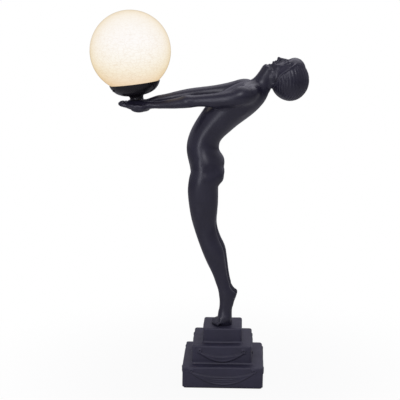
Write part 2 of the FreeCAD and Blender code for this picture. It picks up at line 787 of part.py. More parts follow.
def locknut():
    low = stem_height + cup_wall
    return on_lamp_axis(hex_nut(locknut_across, nipple_radius, low, low + locknut_height))


def globe_gasket():
    """Rubber ring between the cup's ledge and the glass."""
    inner = globe_neck_radius - globe_glass - 0.8
    return on_lamp_axis(ring(globe_neck_radius + 0.6, inner, ledge_height, ledge_height + gasket_thickness))


def globe():
    """Hollow glass ball with an open neck that stands in the cup."""
    low = neck_foot
    centre = globe_centre_height
    inner_radius = globe_radius - globe_glass
    inner_neck = globe_neck_radius - globe_glass
    outer_meet = centre - math.sqrt(globe_radius ** 2 - globe_neck_radius ** 2)
    inner_meet = centre - math.sqrt(inner_radius ** 2 - inner_neck ** 2)
    edges = [
        line((inner_neck, low), (globe_neck_radius, low)),
        line((globe_neck_radius, low), (globe_neck_radius, outer_meet)),
        arc((globe_neck_radius, outer_meet), (globe_radius, centre), (0, centre + globe_radius)),
        line((0, centre + globe_radius), (0, centre + inner_radius)),
        arc((0, centre + inner_radius), (inner_radius, centre), (inner_neck, inner_meet)),
        line((inner_neck, inner_meet), (inner_neck, low)),
    ]
    return on_lamp_axis(lathe_edges(edges))


# ---------------------------------------------------------------- lampholder and bulb
def holder_cap():
    """Lower half of the lampholder, screwed on the tube."""
    inner = holder_radius - holder_wall
    outline = [(nipple_radius, holder_start), (holder_radius - 2.0, holder_start), (holder_radius, holder_start + 2.0),
               (holder_radius, holder_join), (inner, holder_join), (inner, holder_start + 5.0),
               (nipple_radius, holder_start + 5.0)]
    return on_lamp_axis(lathe(outline))


def holder_body():
    """Upper half of the lampholder: a sleeve with a floor, bored for the screw shell."""
    outer = holder_radius
    bore = bulb_cap_radius + shell_gap + 0.5
    mouth = holder_radius - holder_wall
    floor = holder_join + 4.0
    outline = [(lead_radius, holder_join), (outer, holder_join), (outer, holder_top), (mouth, holder_top),
               (mouth, bulb_shoulder - 1.0), (bore, bulb_shoulder - 1.0), (bore, floor), (lead_radius, floor)]
    return on_lamp_axis(lathe(outline))


def holder_contact():
    """Sprung centre contact under the bulb, on the lampholder's floor."""
    floor = holder_join + 4.0
    outline = [(0, floor), (4.5, floor), (4.5, floor + 0.6), (2.0, bulb_tip - 0.5), (2.0, bulb_tip), (0, bulb_tip)]
    return on_lamp_axis(lathe(outline))


def screw_shell():
    """Brass shell inside the lampholder that takes the bulb's cap."""
    inner = bulb_cap_radius + shell_gap
    return on_lamp_axis(ring(inner + 0.5, inner, bulb_tip + 3.0, bulb_shoulder - 1.0))


def bulb_glass_envelope():
    """Round clear bulb, open at its neck."""
    centre = bulb_centre
    neck = bulb_cap_radius - 0.8
    low = bulb_shoulder - 4.0
    drop = math.sqrt(bulb_radius ** 2 - (neck + 3.0) ** 2)
    inner = bulb_radius - bulb_glass
    inner_drop = math.sqrt(inner ** 2 - (neck + 3.0 - bulb_glass) ** 2)
    side = 0.7071
    edges = [
        line((neck - bulb_glass, low), (neck, low)),
        line((neck, low), (neck, bulb_shoulder)),
        line((neck, bulb_shoulder), (neck + 3.0, centre - drop)),
        arc((neck + 3.0, centre - drop), (bulb_radius, centre), (0, centre + bulb_radius)),
        line((0, centre + bulb_radius), (0, centre + inner)),
        arc((0, centre + inner), (inner, centre), (neck + 3.0 - bulb_glass, centre - inner_drop)),
        line((neck + 3.0 - bulb_glass, centre - inner_drop), (neck - bulb_glass, bulb_shoulder)),
        line((neck - bulb_glass, bulb_shoulder), (neck - bulb_glass, low)),
    ]
    return on_lamp_axis(lathe_edges(edges))


def bulb_cap():
    """Metal screw cap of the bulb."""
    neck = bulb_cap_radius - 0.8
    low = bulb_tip + 3.0
    outline = [(neck, low), (bulb_cap_radius, low + 1.0), (bulb_cap_radius, bulb_shoulder), (neck, bulb_shoulder)]
    return on_lamp_axis(lathe(outline))


def bulb_insulator():
    """Glass insulator that closes the bulb's cap round its tip contact."""
    neck = bulb_cap_radius - 0.8
    outline = [(2.4, bulb_tip + 0.6), (neck, bulb_tip + 3.0), (neck, bulb_tip + 6.0), (0, bulb_tip + 6.0),
               (0, bulb_tip + 1.4), (2.4, bulb_tip + 1.4)]
    return on_lamp_axis(lathe(outline))


def bulb_contact():
    return on_lamp_axis(rod(2.4, bulb_tip, bulb_tip + 1.4))


def filament_stem():
    """Glass mount inside the bulb with a straight filament held on two wires."""
    low = bulb_tip + 6.0
    top = bulb_centre - 6.0
    shape = rod(3.6, low, bulb_shoulder - 4.0).fuse(rod(1.6, bulb_shoulder - 4.5, top))
    for side in (-1, 1):
        foot = Vector(side * 1.0, 0, top - 4.0)
        tip = Vector(side * 8.0, 0, bulb_centre)
        shape = shape.fuse(rod_along(0.5, foot, tip))
    shape = shape.fuse(rod_along(0.6, Vector(-8.4, 0, bulb_centre), Vector(8.4, 0, bulb_centre)))
    return on_lamp_axis(shape)


# ---------------------------------------------------------------- every piece, one file each
def pieces():
    yield "base_casting", base_casting()
    yield "base_ballast", ballast()
    yield "cover_plate", cover_plate()
    for number, screw in enumerate(cover_screws(), 1):
        yield "cover_screw_%d" % number, screw
    for number, screw in enumerate(ballast_screws(), 1):
        yield "ballast_screw_%d" % number, screw
    yield "felt_pad", felt_pad()
    yield "cable_grommet", cable_grommet()
    yield "terminal_block", terminal_block()
    for number, screw in enumerate(block_screws(), 1):
        yield "block_screw_%d" % number, screw
    yield "foot_stud", foot_stud()
    yield "foot_tube", foot_tube()
    yield "stud_washer", stud_washer(6.5, stud_radius, -1)
    yield "tube_washer", stud_washer(9.5, tube_radius, 1)
    yield "stud_nut", stud_nut(10.0, stud_radius, -1)
    yield "tube_nut", stud_nut(17.0, tube_radius, 1)
    core = trunk()
    yield "figure_body", figure_body(core)
    yield "figure_head", figure_head(core)
    yield "arm_left", arm(-1, core)
    yield "arm_right", arm(1, core)
    yield "neck_dowel", neck_dowel()
    yield "shoulder_dowel_left", shoulder_dowel(-1)
    yield "shoulder_dowel_right", shoulder_dowel(1)
    yield "internal_lead", lead()
    yield "nipple_tube", nipple_tube()
    yield "cup_stem", cup_stem()
    yield "gallery_cup", gallery_cup()
    yield "cup_locknut", locknut()
    for number, angle in enumerate(setscrew_angles, 1):
        yield "setscrew_%d" % number, setscrew(angle)
    yield "globe_gasket", globe_gasket()
    yield "globe", globe()
    yield "holder_cap", holder_cap()
    yield "holder_body", holder_body()
    yield "holder_contact", holder_contact()
    yield "screw_shell", screw_shell()
    yield "bulb_envelope", bulb_glass_envelope()
    yield "bulb_cap", bulb_cap()
    yield "bulb_insulator", bulb_insulator()
    yield "bulb_contact", bulb_contact()
    yield "filament_stem", filament_stem()


os.makedirs("parts", exist_ok=True)
for name, shape in pieces():
    if shape.ShapeType != "Solid" and len(shape.Solids) == 1:
        shape = shape.Solids[0]
    shape.exportStep(os.path.join("parts", name + ".step"))
    box_size = shape.BoundBox
    print("%-22s solids %d valid %s volume %.0f  x %.1f..%.1f y %.1f..%.1f z %.1f..%.1f" % (
        name, len(shape.Solids), shape.isValid(), shape.Volume, box_size.XMin, box_size.XMax,
        box_size.YMin, box_size.YMax, box_size.ZMin, box_size.ZMax))
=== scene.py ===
import math

import bpy
import numpy as np
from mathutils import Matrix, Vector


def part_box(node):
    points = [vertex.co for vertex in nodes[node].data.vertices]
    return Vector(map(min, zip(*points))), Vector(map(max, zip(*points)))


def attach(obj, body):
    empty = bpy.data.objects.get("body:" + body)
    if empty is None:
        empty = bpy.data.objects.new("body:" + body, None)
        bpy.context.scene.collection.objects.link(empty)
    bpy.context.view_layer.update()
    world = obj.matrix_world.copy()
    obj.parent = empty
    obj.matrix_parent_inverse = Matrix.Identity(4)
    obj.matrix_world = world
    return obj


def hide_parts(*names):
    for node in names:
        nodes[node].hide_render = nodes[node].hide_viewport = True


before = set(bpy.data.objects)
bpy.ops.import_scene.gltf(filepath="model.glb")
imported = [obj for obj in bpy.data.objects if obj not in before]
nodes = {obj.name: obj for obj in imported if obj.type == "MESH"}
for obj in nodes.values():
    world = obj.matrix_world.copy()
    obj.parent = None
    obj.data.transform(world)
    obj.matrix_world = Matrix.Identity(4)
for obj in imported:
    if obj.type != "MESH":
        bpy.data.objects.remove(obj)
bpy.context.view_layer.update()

mm = 0.001
print("frame loaded:", len(nodes), "nodes")


# Small helpers
def at(x, y, z):  # a place or a size in millimetres, given in metres
    return (x * mm, y * mm, z * mm)


def clearSelection():
    if bpy.context.object and bpy.context.object.mode != "OBJECT":
        bpy.ops.object.mode_set(mode="OBJECT")
    bpy.ops.object.select_all(action="DESELECT")


def pick(*pieces):
    clearSelection()
    for piece in pieces:
        piece.select_set(True)
    bpy.context.view_layer.objects.active = pieces[0]


def editAll(piece):  # edit mode with the whole piece selected
    pick(piece)
    bpy.ops.object.mode_set(mode="EDIT")
    bpy.ops.mesh.select_all(action="SELECT")


def leaveEdit():
    bpy.ops.object.mode_set(mode="OBJECT")


def joinPieces(pieces):
    pick(*pieces)
    bpy.ops.object.join()
    return bpy.context.object


def finishModifier(piece, kind, **values):  # adds one modifier, sets it and applies it
    pick(piece)
    bpy.ops.object.modifier_add(type=kind)
    modifier = piece.modifiers[-1]
    for key, value in values.items():
        setattr(modifier, key, value)
    bpy.ops.object.modifier_apply(modifier=modifier.name)


def remesh(piece, cell):
    finishModifier(piece, "REMESH", mode="VOXEL", voxel_size=cell * mm, adaptivity=0.0)


def shadeSoft(piece, angle):
    pick(piece)
    bpy.ops.object.shade_smooth_by_angle(angle=math.radians(angle))


def vertexValues(piece, key):
    values = np.empty(len(piece.data.vertices) * 3, dtype=np.float32)
    piece.data.vertices.foreach_get(key, values)
    return values.reshape(-1, 3)


def points(piece):
    return vertexValues(piece, "co") / mm


def setPoints(piece, place):
    piece.data.vertices.foreach_set("co", (place * mm).astype(np.float32).ravel())
    piece.data.update()


def selectPoints(piece, chosen):  # chosen is one true or false for each vertex
    pick(piece)
    mesh = piece.data
    mesh.polygons.foreach_set("select", np.zeros(len(mesh.polygons), dtype=bool))
    mesh.edges.foreach_set("select", np.zeros(len(mesh.edges), dtype=bool))
    mesh.vertices.foreach_set("select", chosen)
    bpy.ops.object.mode_set(mode="EDIT")
    bpy.ops.mesh.select_mode(type="VERT")


def smoothWhere(piece, repeat, chosen=None):
    if chosen is None:
        chosen = np.ones(len(piece.data.vertices), dtype=bool)
    selectPoints(piece, chosen)
    bpy.ops.mesh.vertices_smooth(factor=0.5, repeat=repeat)
    leaveEdit()


def sidesOf(y):  # what lies off the middle is made on both sides
    return (-1, 1) if y else (1,)


def nudge(piece, spot, move, reach):  # pulls the surface at a spot and round it, as with a soft grab
    for side in sidesOf(spot[1]):
        place = points(piece)
        chosen = np.zeros(len(place), dtype=bool)
        away = place - np.array((spot[0], side * spot[1], spot[2]))
        chosen[int(np.argmin((away ** 2).sum(axis=1)))] = True
        selectPoints(piece, chosen)
        bpy.ops.transform.translate(value=at(move[0], side * move[1], move[2]), use_proportional_edit=True,
                                    proportional_edit_falloff="SMOOTH", proportional_size=reach * mm)
        leaveEdit()


def turnSelected(degrees, axis, centre):
    bpy.ops.transform.rotate(value=-math.radians(degrees), orient_axis=axis, center_override=centre)


def turnAndPlace(piece, degrees, place):  # leans a piece made at the origin and moves it to its place
    editAll(piece)
    turnSelected(degrees, "Y", (0, 0, 0))
    bpy.ops.transform.translate(value=at(*place))
    leaveEdit()
    return piece


def cutAt(piece, place, normal, **sides):  # cuts a piece along a plane; sides says what goes
    editAll(piece)
    bpy.ops.mesh.bisect(plane_co=at(*place), plane_no=normal, **sides)
    leaveEdit()


# A tube's rows are subdivided later, which pulls them in. This moves them out first, so that the tube still
# passes through the rows it was given.
def settled(rows, repeats=14):
    wanted = np.array(rows, dtype=float)
    held = wanted.copy()
    for _ in range(repeats):
        held[1:-1] = (6 * wanted[1:-1] - held[:-2] - held[2:]) / 4
    return held


# A circle extruded through rows of x, y, z, lean, half depth and half width. Later smoothing takes off the
# loss divided by the sum of the two half sizes, so each row starts that much larger.
def growTube(rows, sides=28, loss=0.0):
    swell = 3 / (2 + math.cos(2 * math.pi / sides))
    clearSelection()
    bpy.ops.mesh.primitive_circle_add(vertices=sides, radius=mm, fill_type="NGON", location=(0, 0, 0))
    tube = bpy.context.object
    editAll(tube)
    here, lean, depth, width = np.zeros(3), 0.0, 1.0, 1.0
    for i, (x, y, z, newLean, newDepth, newWidth) in enumerate(settled(rows)):
        newDepth, newWidth = [size * swell + loss / (newDepth + newWidth) for size in (newDepth, newWidth)]
        if i:
            bpy.ops.mesh.extrude_region_move()
        centre = at(*here)
        turnSelected(-lean, "Y", centre)
        bpy.ops.transform.resize(value=(newDepth / depth, newWidth / width, 1), center_override=centre)
        turnSelected(newLean, "Y", centre)
        bpy.ops.transform.translate(value=at(x - here[0], y - here[1], z - here[2]))
        here, lean, depth, width = np.array((x, y, z)), newLean, newDepth, newWidth
    leaveEdit()
    finishModifier(tube, "SUBSURF", levels=2, render_levels=2)
    return tube


# A ball stretched to half sizes along x, y and z and then turned, in degrees.
def addBall(centre, size, lean=0.0, swing=0.0, roll=0.0, segments=32):
    clearSelection()
    bpy.ops.mesh.primitive_uv_sphere_add(segments=segments, ring_count=segments // 2, radius=1,
                                         location=at(*centre), scale=at(*size),
                                         rotation=[math.radians(a) for a in (roll, lean, swing)])
    bpy.ops.object.transform_apply(location=True, rotation=True, scale=True)
    return bpy.context.object


def addMasses(*rows):
    return [addBall((x, side * y, z), size, lean, side * swing, side * roll)
            for x, y, z, size, lean, swing, roll in rows for side in sidesOf(y)]


def spinProfile(profile, steps=96, closed=True):  # turns an outline of radius, height points about Z
    clearSelection()
    bpy.ops.mesh.primitive_plane_add(size=mm, location=(0, 0, 0))
    piece = bpy.context.object
    bpy.ops.object.mode_set(mode="EDIT")
    bpy.ops.mesh.select_mode(type="VERT")
    bpy.ops.mesh.select_all(action="SELECT")
    bpy.ops.mesh.merge(type="CENTER")
    here = profile[0]
    bpy.ops.transform.translate(value=at(here[0], 0, here[1]))
    for radius, height in profile[1:] + (profile[:1] if closed else []):
        bpy.ops.mesh.extrude_vertices_move(
            TRANSFORM_OT_translate={"value": at(radius - here[0], 0, height - here[1])})
        here = (radius, height)
    bpy.ops.mesh.select_all(action="SELECT")
    bpy.ops.mesh.remove_doubles(threshold=0.001 * mm)
    bpy.ops.mesh.select_all(action="SELECT")
    bpy.ops.mesh.spin(steps=steps, angle=2 * math.pi, center=(0, 0, 0), axis=(0, 0, 1))
    leaveEdit()
    editAll(piece)
    bpy.ops.mesh.remove_doubles(threshold=0.01 * mm)
    bpy.ops.mesh.normals_make_consistent(inside=False)
    leaveEdit()
    return piece


# The lamp head's sizes, and heights along its own axis above the palms
lampSizes = {
    "palm": (-163.5, 0.0, 537.0), "tilt": 7.0, "globeRadius": 75.0, "glass": 3.0, "neckRadius": 37.0,
    "neckFoot": 20.0, "globeCentre": 20.0 + 5.06 + math.sqrt(75.0 ** 2 - 37.0 ** 2), "cupRim": 30.5,
    "cupWall": 1.6, "stemRadius": 13.2, "stemHeight": 7.4, "nipple": 5.0, "screwHeight": 23.0,
}


def lampPoint(height):  # a place on the lamp head's axis
    tilt = math.radians(lampSizes["tilt"])
    x, y, z = lampSizes["palm"]
    return (x - height * math.sin(tilt), y, z + height * math.cos(tilt))


# Camera, lights and floor
cameraSet = {"lens": 94.17, "sensor": 36, "place": (0.0416, -1.9423, 0.7288), "pitchDown": 0.1939,
             "turnLeft": 0.0449, "farthest": 50}
clearSelection()
bpy.ops.object.camera_add(location=cameraSet["place"],
                          rotation=(math.pi / 2 - cameraSet["pitchDown"], 0, cameraSet["turnLeft"]))
camera = bpy.context.object
camera.data.lens = cameraSet["lens"]
camera.data.sensor_width = cameraSet["sensor"]
camera.data.clip_end = cameraSet["farthest"]
bpy.context.scene.camera = camera

softboxSet = {  # name: place, aim, width, height, power, colour
    "topSoftbox": ((0.3, 0.5, 1.9), (0.0, 0.0, 0.35), 1.8, 1.8, 13.4, (0.94, 0.92, 1.0)),
    "frontSoftbox": ((0.1, -2.0, 1.8), (0.0, 0.0, 0.4), 0.8, 0.8, 11.0, (0.92, 0.91, 1.0)),
    "leftStrip": ((-1.05, -1.85, 0.7), (0.0, 0.0, 0.36), 0.40, 1.5, 8.5, (0.90, 0.90, 1.0)),
}
glowSet = {"power": 5.2, "colour": (1.0, 0.45, 0.25), "beyondGlass": 1.5}


def addLight(name, kind, place, power, colour):
    clearSelection()
    bpy.ops.object.light_add(type=kind, location=place)
    lamp = bpy.context.object
    lamp.name = name
    lamp.data.energy = power
    lamp.data.color = colour
    return lamp


def addSoftbox(name, place, aim, width, height, power, colour):
    lamp = addLight(name, "AREA", place, power, colour)
    lamp.data.shape = "RECTANGLE"
    lamp.data.size, lamp.data.size_y = width, height
    gap = np.array(aim) - np.array(place)
    across = math.hypot(gap[0], gap[1])
    upright, aside = math.atan2(gap[2], across), math.atan2(gap[1], gap[0])
    lamp.rotation_euler = (math.pi / 2 + upright, 0, aside - math.pi / 2)


def addGlow():  # the light that the lit globe throws on the arms and the cup
    place = at(*lampPoint(lampSizes["globeCentre"]))
    lamp = addLight("globeGlow", "POINT", place, glowSet["power"], glowSet["colour"])
    lamp.data.shadow_soft_size = (lampSizes["globeRadius"] + glowSet["beyondGlass"]) * mm
    lamp.visible_camera = False
    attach(lamp, "globe")


for lampName, lampValues in softboxSet.items():
    addSoftbox(lampName, *lampValues)

roomSet = {"ambient": 0.16, "mirrored": 0.45, "airColour": (0.86, 0.84, 1.0), "floorRadius": 12,
           "shadeFrom": 0.12, "shadeTo": 0.6, "shadeShare": 0.07, "paper": 0.86}
white = (1, 1, 1, 1)


def fillInputs(tree, node, inputs):  # sets a node's inputs; a value that is a socket is linked
    for key, value in inputs.items():
        if isinstance(value, bpy.types.NodeSocket):
            tree.links.new(value, node.inputs[key])
        else:
            node.inputs[key].default_value = value


def nodeMaker(tree):  # gives a function that adds one node with its inputs and values
    def add(kind, inputs=(), **values):
        node = tree.nodes.new(kind)
        for key, value in values.items():
            setattr(node, key, value)
        fillInputs(tree, node, dict(inputs))
        return node
    return add


def ranged(add, value, start, stop, low=0.0, high=1.0, **values):  # moves a value's range to another
    return add("ShaderNodeMapRange", {"Value": value, "From Min": start, "From Max": stop, "To Min": low,
                                      "To Max": high}, **values).outputs[0]


def shaderMix(add, share, under, over):  # one shader over another
    return add("ShaderNodeMixShader", {0: share, 1: under.outputs[0], 2: over.outputs[0]})


def makeWorld():
    world = bpy.data.worlds.new("studioAir")
    bpy.context.scene.world = world
    world.use_nodes = True
    world.node_tree.nodes.clear()
    add = nodeMaker(world.node_tree)
    path = add("ShaderNodeLightPath")
    seen = add("ShaderNodeMath", {0: path.outputs["Is Camera Ray"], 1: path.outputs["Is Transmission Ray"]},
               operation="MAXIMUM")
    air = (*roomSet["airColour"], 1)
    plain = add("ShaderNodeBackground", {"Color": air, "Strength": roomSet["ambient"]})
    glossy = add("ShaderNodeBackground", {"Color": air, "Strength": roomSet["mirrored"]})
    shown = add("ShaderNodeBackground", {"Color": white, "Strength": 1.0})
    lit = shaderMix(add, path.outputs["Is Glossy Ray"], plain, glossy)
    add("ShaderNodeOutputWorld", {"Surface": shaderMix(add, seen.outputs[0], lit, shown).outputs[0]})


def makeFloor():  # white paper that shows the camera only a share of its shading, near the lamp
    clearSelection()
    bpy.ops.mesh.primitive_circle_add(vertices=96, radius=roomSet["floorRadius"], fill_type="NGON",
                                      location=(0, 0, 0))
    floor = bpy.context.object
    floor.name = "studioFloor"
    material = bpy.data.materials.new("paleFloor")
    material.use_nodes = True
    material.node_tree.nodes.clear()
    add = nodeMaker(material.node_tree)
    path = add("ShaderNodeLightPath")
    coords = add("ShaderNodeTexCoord")
    spread = add("ShaderNodeVectorMath", {0: coords.outputs["Object"]}, operation="LENGTH")
    near = ranged(add, spread.outputs["Value"], roomSet["shadeFrom"], roomSet["shadeTo"],
                  roomSet["shadeShare"], 0.0, interpolation_type="SMOOTHSTEP")
    paper = add("ShaderNodeBsdfDiffuse", {"Color": (*(roomSet["paper"],) * 3, 1)})
    glow = add("ShaderNodeEmission", {"Color": white, "Strength": 1.0})
    shown = shaderMix(add, near, glow, paper)
    whole = shaderMix(add, path.outputs["Is Camera Ray"], paper, shown)
    add("ShaderNodeOutputMaterial", {"Surface": whole.outputs[0]})
    floor.data.materials.append(material)


makeWorld()
makeFloor()
addGlow()
print("studio ready")


# Finishes
def newFinish(name):  # a finish, a maker of its nodes and its Object coordinates
    material = bpy.data.materials.new(name)
    material.use_nodes = True
    add = nodeMaker(material.node_tree)
    return material, add, add("ShaderNodeTexCoord").outputs["Object"]


def setFinish(material, inputs):
    tree = material.node_tree
    fillInputs(tree, next(n for n in tree.nodes if n.type == "BSDF_PRINCIPLED"), inputs)
    return material


def noise(add, coords, scale, detail, **inputs):
    return add("ShaderNodeTexNoise", {"Vector": coords, "Scale": scale, "Detail": detail, **inputs}).outputs


def mottled(add, coords, scale, low, high):  # a soft noise turned into a colour between two
    ramp = add("ShaderNodeValToRGB", {"Fac": noise(add, coords, scale, 4.0)["Fac"]})
    for stop, place, colour in zip(ramp.color_ramp.elements, (0.3, 0.7), (low, high)):
        stop.position, stop.color = place, (*colour, 1)
    return ramp.outputs["Color"]


def mixed(add, share, under, over):  # one colour over another
    return add("ShaderNodeMix", {0: share, 6: under, 7: (*over, 1)}, data_type="RGBA").outputs[2]


def bumped(add, height, strength, depth, **inputs):
    return add("ShaderNodeBump", {"Height": height, "Strength": strength, "Distance": depth * mm,
                                  **inputs}).outputs[0]


# One finish with mottled colour, uneven gloss and a fine grain.
def plainFinish(name, low, high, roughness, metallic=0.0, grain=300.0, bump=0.02, spread=0.08, **extra):
    material, add, coords = newFinish(name)
    gloss = noise(add, coords, grain * 0.4, 3.0)["Fac"]
    return setFinish(material, {
        "Base Color": mottled(add, coords, grain * 0.2, low, high),
        "Roughness": ranged(add, gloss, 0.0, 1.0, max(roughness - spread, 0.02), roughness + spread),
        "Normal": bumped(add, noise(add, coords, grain, 5.0)["Fac"], 0.5, bump),
        "Metallic": metallic,
        **{key.replace("_", " "): value for key, value in extra.items()},
    })


resinSet = {
    "dark": (0.021, 0.0195, 0.035), "light": (0.028, 0.026, 0.047), "mottleScale": 26.0,
    # the lighter edge colour is partly wear and partly painted highlight; the crease colour is painted shade
    # in the hollows
    "wornAndHighlit": (0.070, 0.069, 0.094), "creaseShade": (0.006, 0.006, 0.009), "glossScale": 60.0, "glossSpread": 0.07,
    "broadScale": 90.0, "broadStrength": 0.35, "broadDepth": 0.25, "grainScale": 420.0, "grainDepth": 0.08,
}


# Satin black paint on cast resin, lighter on the high edges as wear and painted highlight, and darker in the
# creases as painted shade. The last three values are where the lighter edges and the painted crease shade
# begin and end on the pointiness of the surface, and how dark the painted shade gets.
def resinFinish(name, roughness, grain, wearAndHighlight, tone, wornAndHighlitAt, creaseShadeAt, darkestShade):
    material, add, coords = newFinish(name)
    colour = mottled(add, coords, resinSet["mottleScale"],
                     *[tuple(tone * c for c in resinSet[shade]) for shade in ("dark", "light")])
    edge = add("ShaderNodeNewGeometry").outputs["Pointiness"]
    # lighter on sharp edges: partly wear, partly painted highlight
    colour = mixed(add, ranged(add, edge, *wornAndHighlitAt, 0.0, wearAndHighlight), colour, resinSet["wornAndHighlit"])
    # darker in hollows and creases: painted shade
    colour = mixed(add, ranged(add, edge, *creaseShadeAt, darkestShade, 0.0), colour, resinSet["creaseShade"])
    cloud = noise(add, coords, resinSet["glossScale"], 3.0)["Fac"]
    spread = resinSet["glossSpread"]
    broad = bumped(add, noise(add, coords, resinSet["broadScale"], 2.0)["Fac"], resinSet["broadStrength"],
                   resinSet["broadDepth"])
    fine = noise(add, coords, resinSet["grainScale"], 4.0)["Fac"]
    return setFinish(material, {
        "Base Color": colour,
        "Roughness": ranged(add, cloud, 0.0, 1.0, roughness - spread, roughness + spread),
        "Normal": bumped(add, fine, grain, resinSet["grainDepth"], Normal=broad),
    })


# the last three values place the lighter edges, partly wear and partly painted highlight, and the painted
# shade in the creases
figureFinish = resinFinish("satinBlackFigure", 0.34, 0.25, 0.25, 0.85, (0.52, 0.60), (0.42, 0.49), 0.75)
baseFinish = resinFinish("satinBlackBase", 0.50, 0.6, 0.8, 1.3, (0.512, 0.57), (0.45, 0.494), 0.95)
cupFinish = plainFinish("glossBlackCup", (0.008, 0.007, 0.009), (0.013, 0.011, 0.014), 0.28, grain=160.0,
                        bump=0.015, spread=0.06, Specular_IOR_Level=0.32)

globeSet = {  # heights are in metres from the globe's middle
    "glow": 1.2, "tint": (0.945, 0.89, 0.78), "rampFrom": -0.06, "rampTo": 0.02,
    "heights": [(0.0, (0.80, 0.70, 0.62)), (0.30, (0.835, 0.81, 0.77)), (0.62, (0.862, 0.88, 0.93)),
                (1.0, (0.874, 0.905, 1.02))],
    "crack": (0.66, 0.54, 0.42), "crackScale": 120.0, "crackWidth": 0.09, "crackFlat": 1.7,
    "crackDepth": 0.15, "wobbleScale": 55.0, "wobble": 0.012,
    "amountAt": (-0.07, 0.05), "amount": (0.42, 0.12),  # how strong the lines are, low down and high up
    "veil": (0.62, 0.50, 0.42), "veilScale": 70.0, "veilFlat": 5, "veilFrom": 0.48, "veilTo": 0.75,
}
bulbSet = {"glow": 1.1, "tint": (0.93, 0.84, 0.68), "low": (0.93, 0.86, 0.74), "high": (0.96, 0.91, 0.82),
           "mottleScale": 40.0}


def litGlass(colour, glassSet):  # the inputs of glass that glows and is creamier at its rim
    return {"Emission Color": colour, "Emission Strength": glassSet["glow"], "Coat Weight": 1.0,
            "Coat IOR": 1.04, "Coat Tint": (*glassSet["tint"], 1), "Base Color": (0.03, 0.028, 0.024, 1)}


# Lit crackled glass: whiter where the bulb is near, creamier low down, with fine crackle lines and wisps.
def globeFinish():
    material, add, coords = newFinish("crackleGlass")
    centre = lampPoint(lampSizes["globeCentre"])
    local = add("ShaderNodeMapping", {"Vector": coords, "Location": [-c * mm for c in centre]}).outputs[0]
    height = add("ShaderNodeSeparateXYZ", {"Vector": local}).outputs["Z"]
    warmth = add("ShaderNodeValToRGB", {"Fac": ranged(add, height, globeSet["rampFrom"], globeSet["rampTo"])})
    ramp = warmth.color_ramp
    for share, colour in globeSet["heights"][1:-1]:
        ramp.elements.new(share)
    for stop, (share, colour) in zip(ramp.elements, globeSet["heights"]):
        stop.position, stop.color = share, (*colour, 1)
    wobble = noise(add, local, globeSet["wobbleScale"], 3.0)["Color"]
    shift = add("ShaderNodeVectorMath", {0: wobble, 1: (0.5, 0.5, 0.5)}, operation="SUBTRACT").outputs[0]
    scaled = add("ShaderNodeVectorMath", {0: shift, "Scale": globeSet["wobble"]}, operation="SCALE")
    warped = add("ShaderNodeVectorMath", {0: local, 1: scaled.outputs[0]}, operation="ADD").outputs[0]
    squashed = add("ShaderNodeMapping", {"Vector": warped, "Scale": (1, 1, globeSet["crackFlat"])})
    cells = add("ShaderNodeTexVoronoi", {"Vector": squashed.outputs[0], "Scale": globeSet["crackScale"]},
                feature="DISTANCE_TO_EDGE")
    crack = ranged(add, cells.outputs["Distance"], 0.0, globeSet["crackWidth"], 1.0, 0.0)
    amount = ranged(add, height, *globeSet["amountAt"], *globeSet["amount"])
    flat = add("ShaderNodeMapping", {"Vector": warped, "Scale": (1, 1, globeSet["veilFlat"])}).outputs[0]
    wisps = noise(add, flat, globeSet["veilScale"], 5.0, Roughness=0.7)["Fac"]
    veil = ranged(add, wisps, globeSet["veilFrom"], globeSet["veilTo"])
    colour = warmth.outputs["Color"]
    for share, shade in ((veil, globeSet["veil"]), (crack, globeSet["crack"])):
        share = add("ShaderNodeMath", {0: share, 1: amount}, operation="MULTIPLY").outputs[0]
        colour = mixed(add, share, colour, shade)
    return setFinish(material, {
        **litGlass(colour, globeSet), "Roughness": 0.25, "Coat Roughness": 0.05, "Specular IOR Level": 0.0,
        "Normal": bumped(add, crack, 0.3, globeSet["crackDepth"]),
    })


def bulbFinish():  # opal glass, lit
    material, add, coords = newFinish("opalBulb")
    colour = mottled(add, coords, bulbSet["mottleScale"], bulbSet["low"], bulbSet["high"])
    return setFinish(material, {**litGlass(colour, bulbSet), "Roughness": 0.2})


def dress(piece, name, material, slot, body, *replaced):
    piece.name = name
    piece.data.name = name
    piece.data.materials.clear()
    piece.data.materials.append(material)
    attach(piece, body)
    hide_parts(*replaced)


# Stepped base
baseSet = {
    "tiers": [(152.0, 2.0, 41.5), (113.0, 40.5, 77.0), (74.0, 76.0, 105.5)],  # width, low, high
    "beads": [(113.0, 41.8), (74.0, 77.3)],  # width, height of the roll where a step meets the one below
    "rooms": [(137.0, -5.0, 32.5), (97.0, 30.0, 68.0), (58.0, 66.0, 96.5)],  # the hollow's width, low, high
    "corner": 4.5, "rim": 2.6, "cell": 0.8, "kept": 0.42, "waviness": 0.9, "wander": (0.35, 0.35, 0.45),
    "offCentre": 1.7,
}
swagSet = {  # tier, half span, horn height, lowest point, top of the middle, stand-off, turned copies
    "lower": (0, 58.0, 31.5, 8.3, 21.5, 1.6, (90, -90)),  # none behind, where the cable inlet is
    "middle": (1, 40.5, 63.5, 47.4, 55.3, 1.9, (90, 180, -90)),
}
# Share up the crescent, radius and stand-off of each flute
fluteSet = [(0.0, 1.4, 1.0), (1.0, 1.1, 1.0), (0.36, 0.7, 1.1), (0.68, 0.7, 1.1)]
curlSet = {"steps": 9, "start": -80, "turn": 42, "size": 4.3, "shrink": 0.34, "radius": 1.5, "out": 0.4,
           "up": 3.6, "sunk": 1.3}


def addBlock(width, low, high):
    clearSelection()
    bpy.ops.mesh.primitive_cube_add(size=1, location=at(0, 0, (low + high) / 2),
                                    scale=at(width, width, high - low))
    bpy.ops.object.transform_apply(location=True, rotation=True, scale=True)
    return bpy.context.object


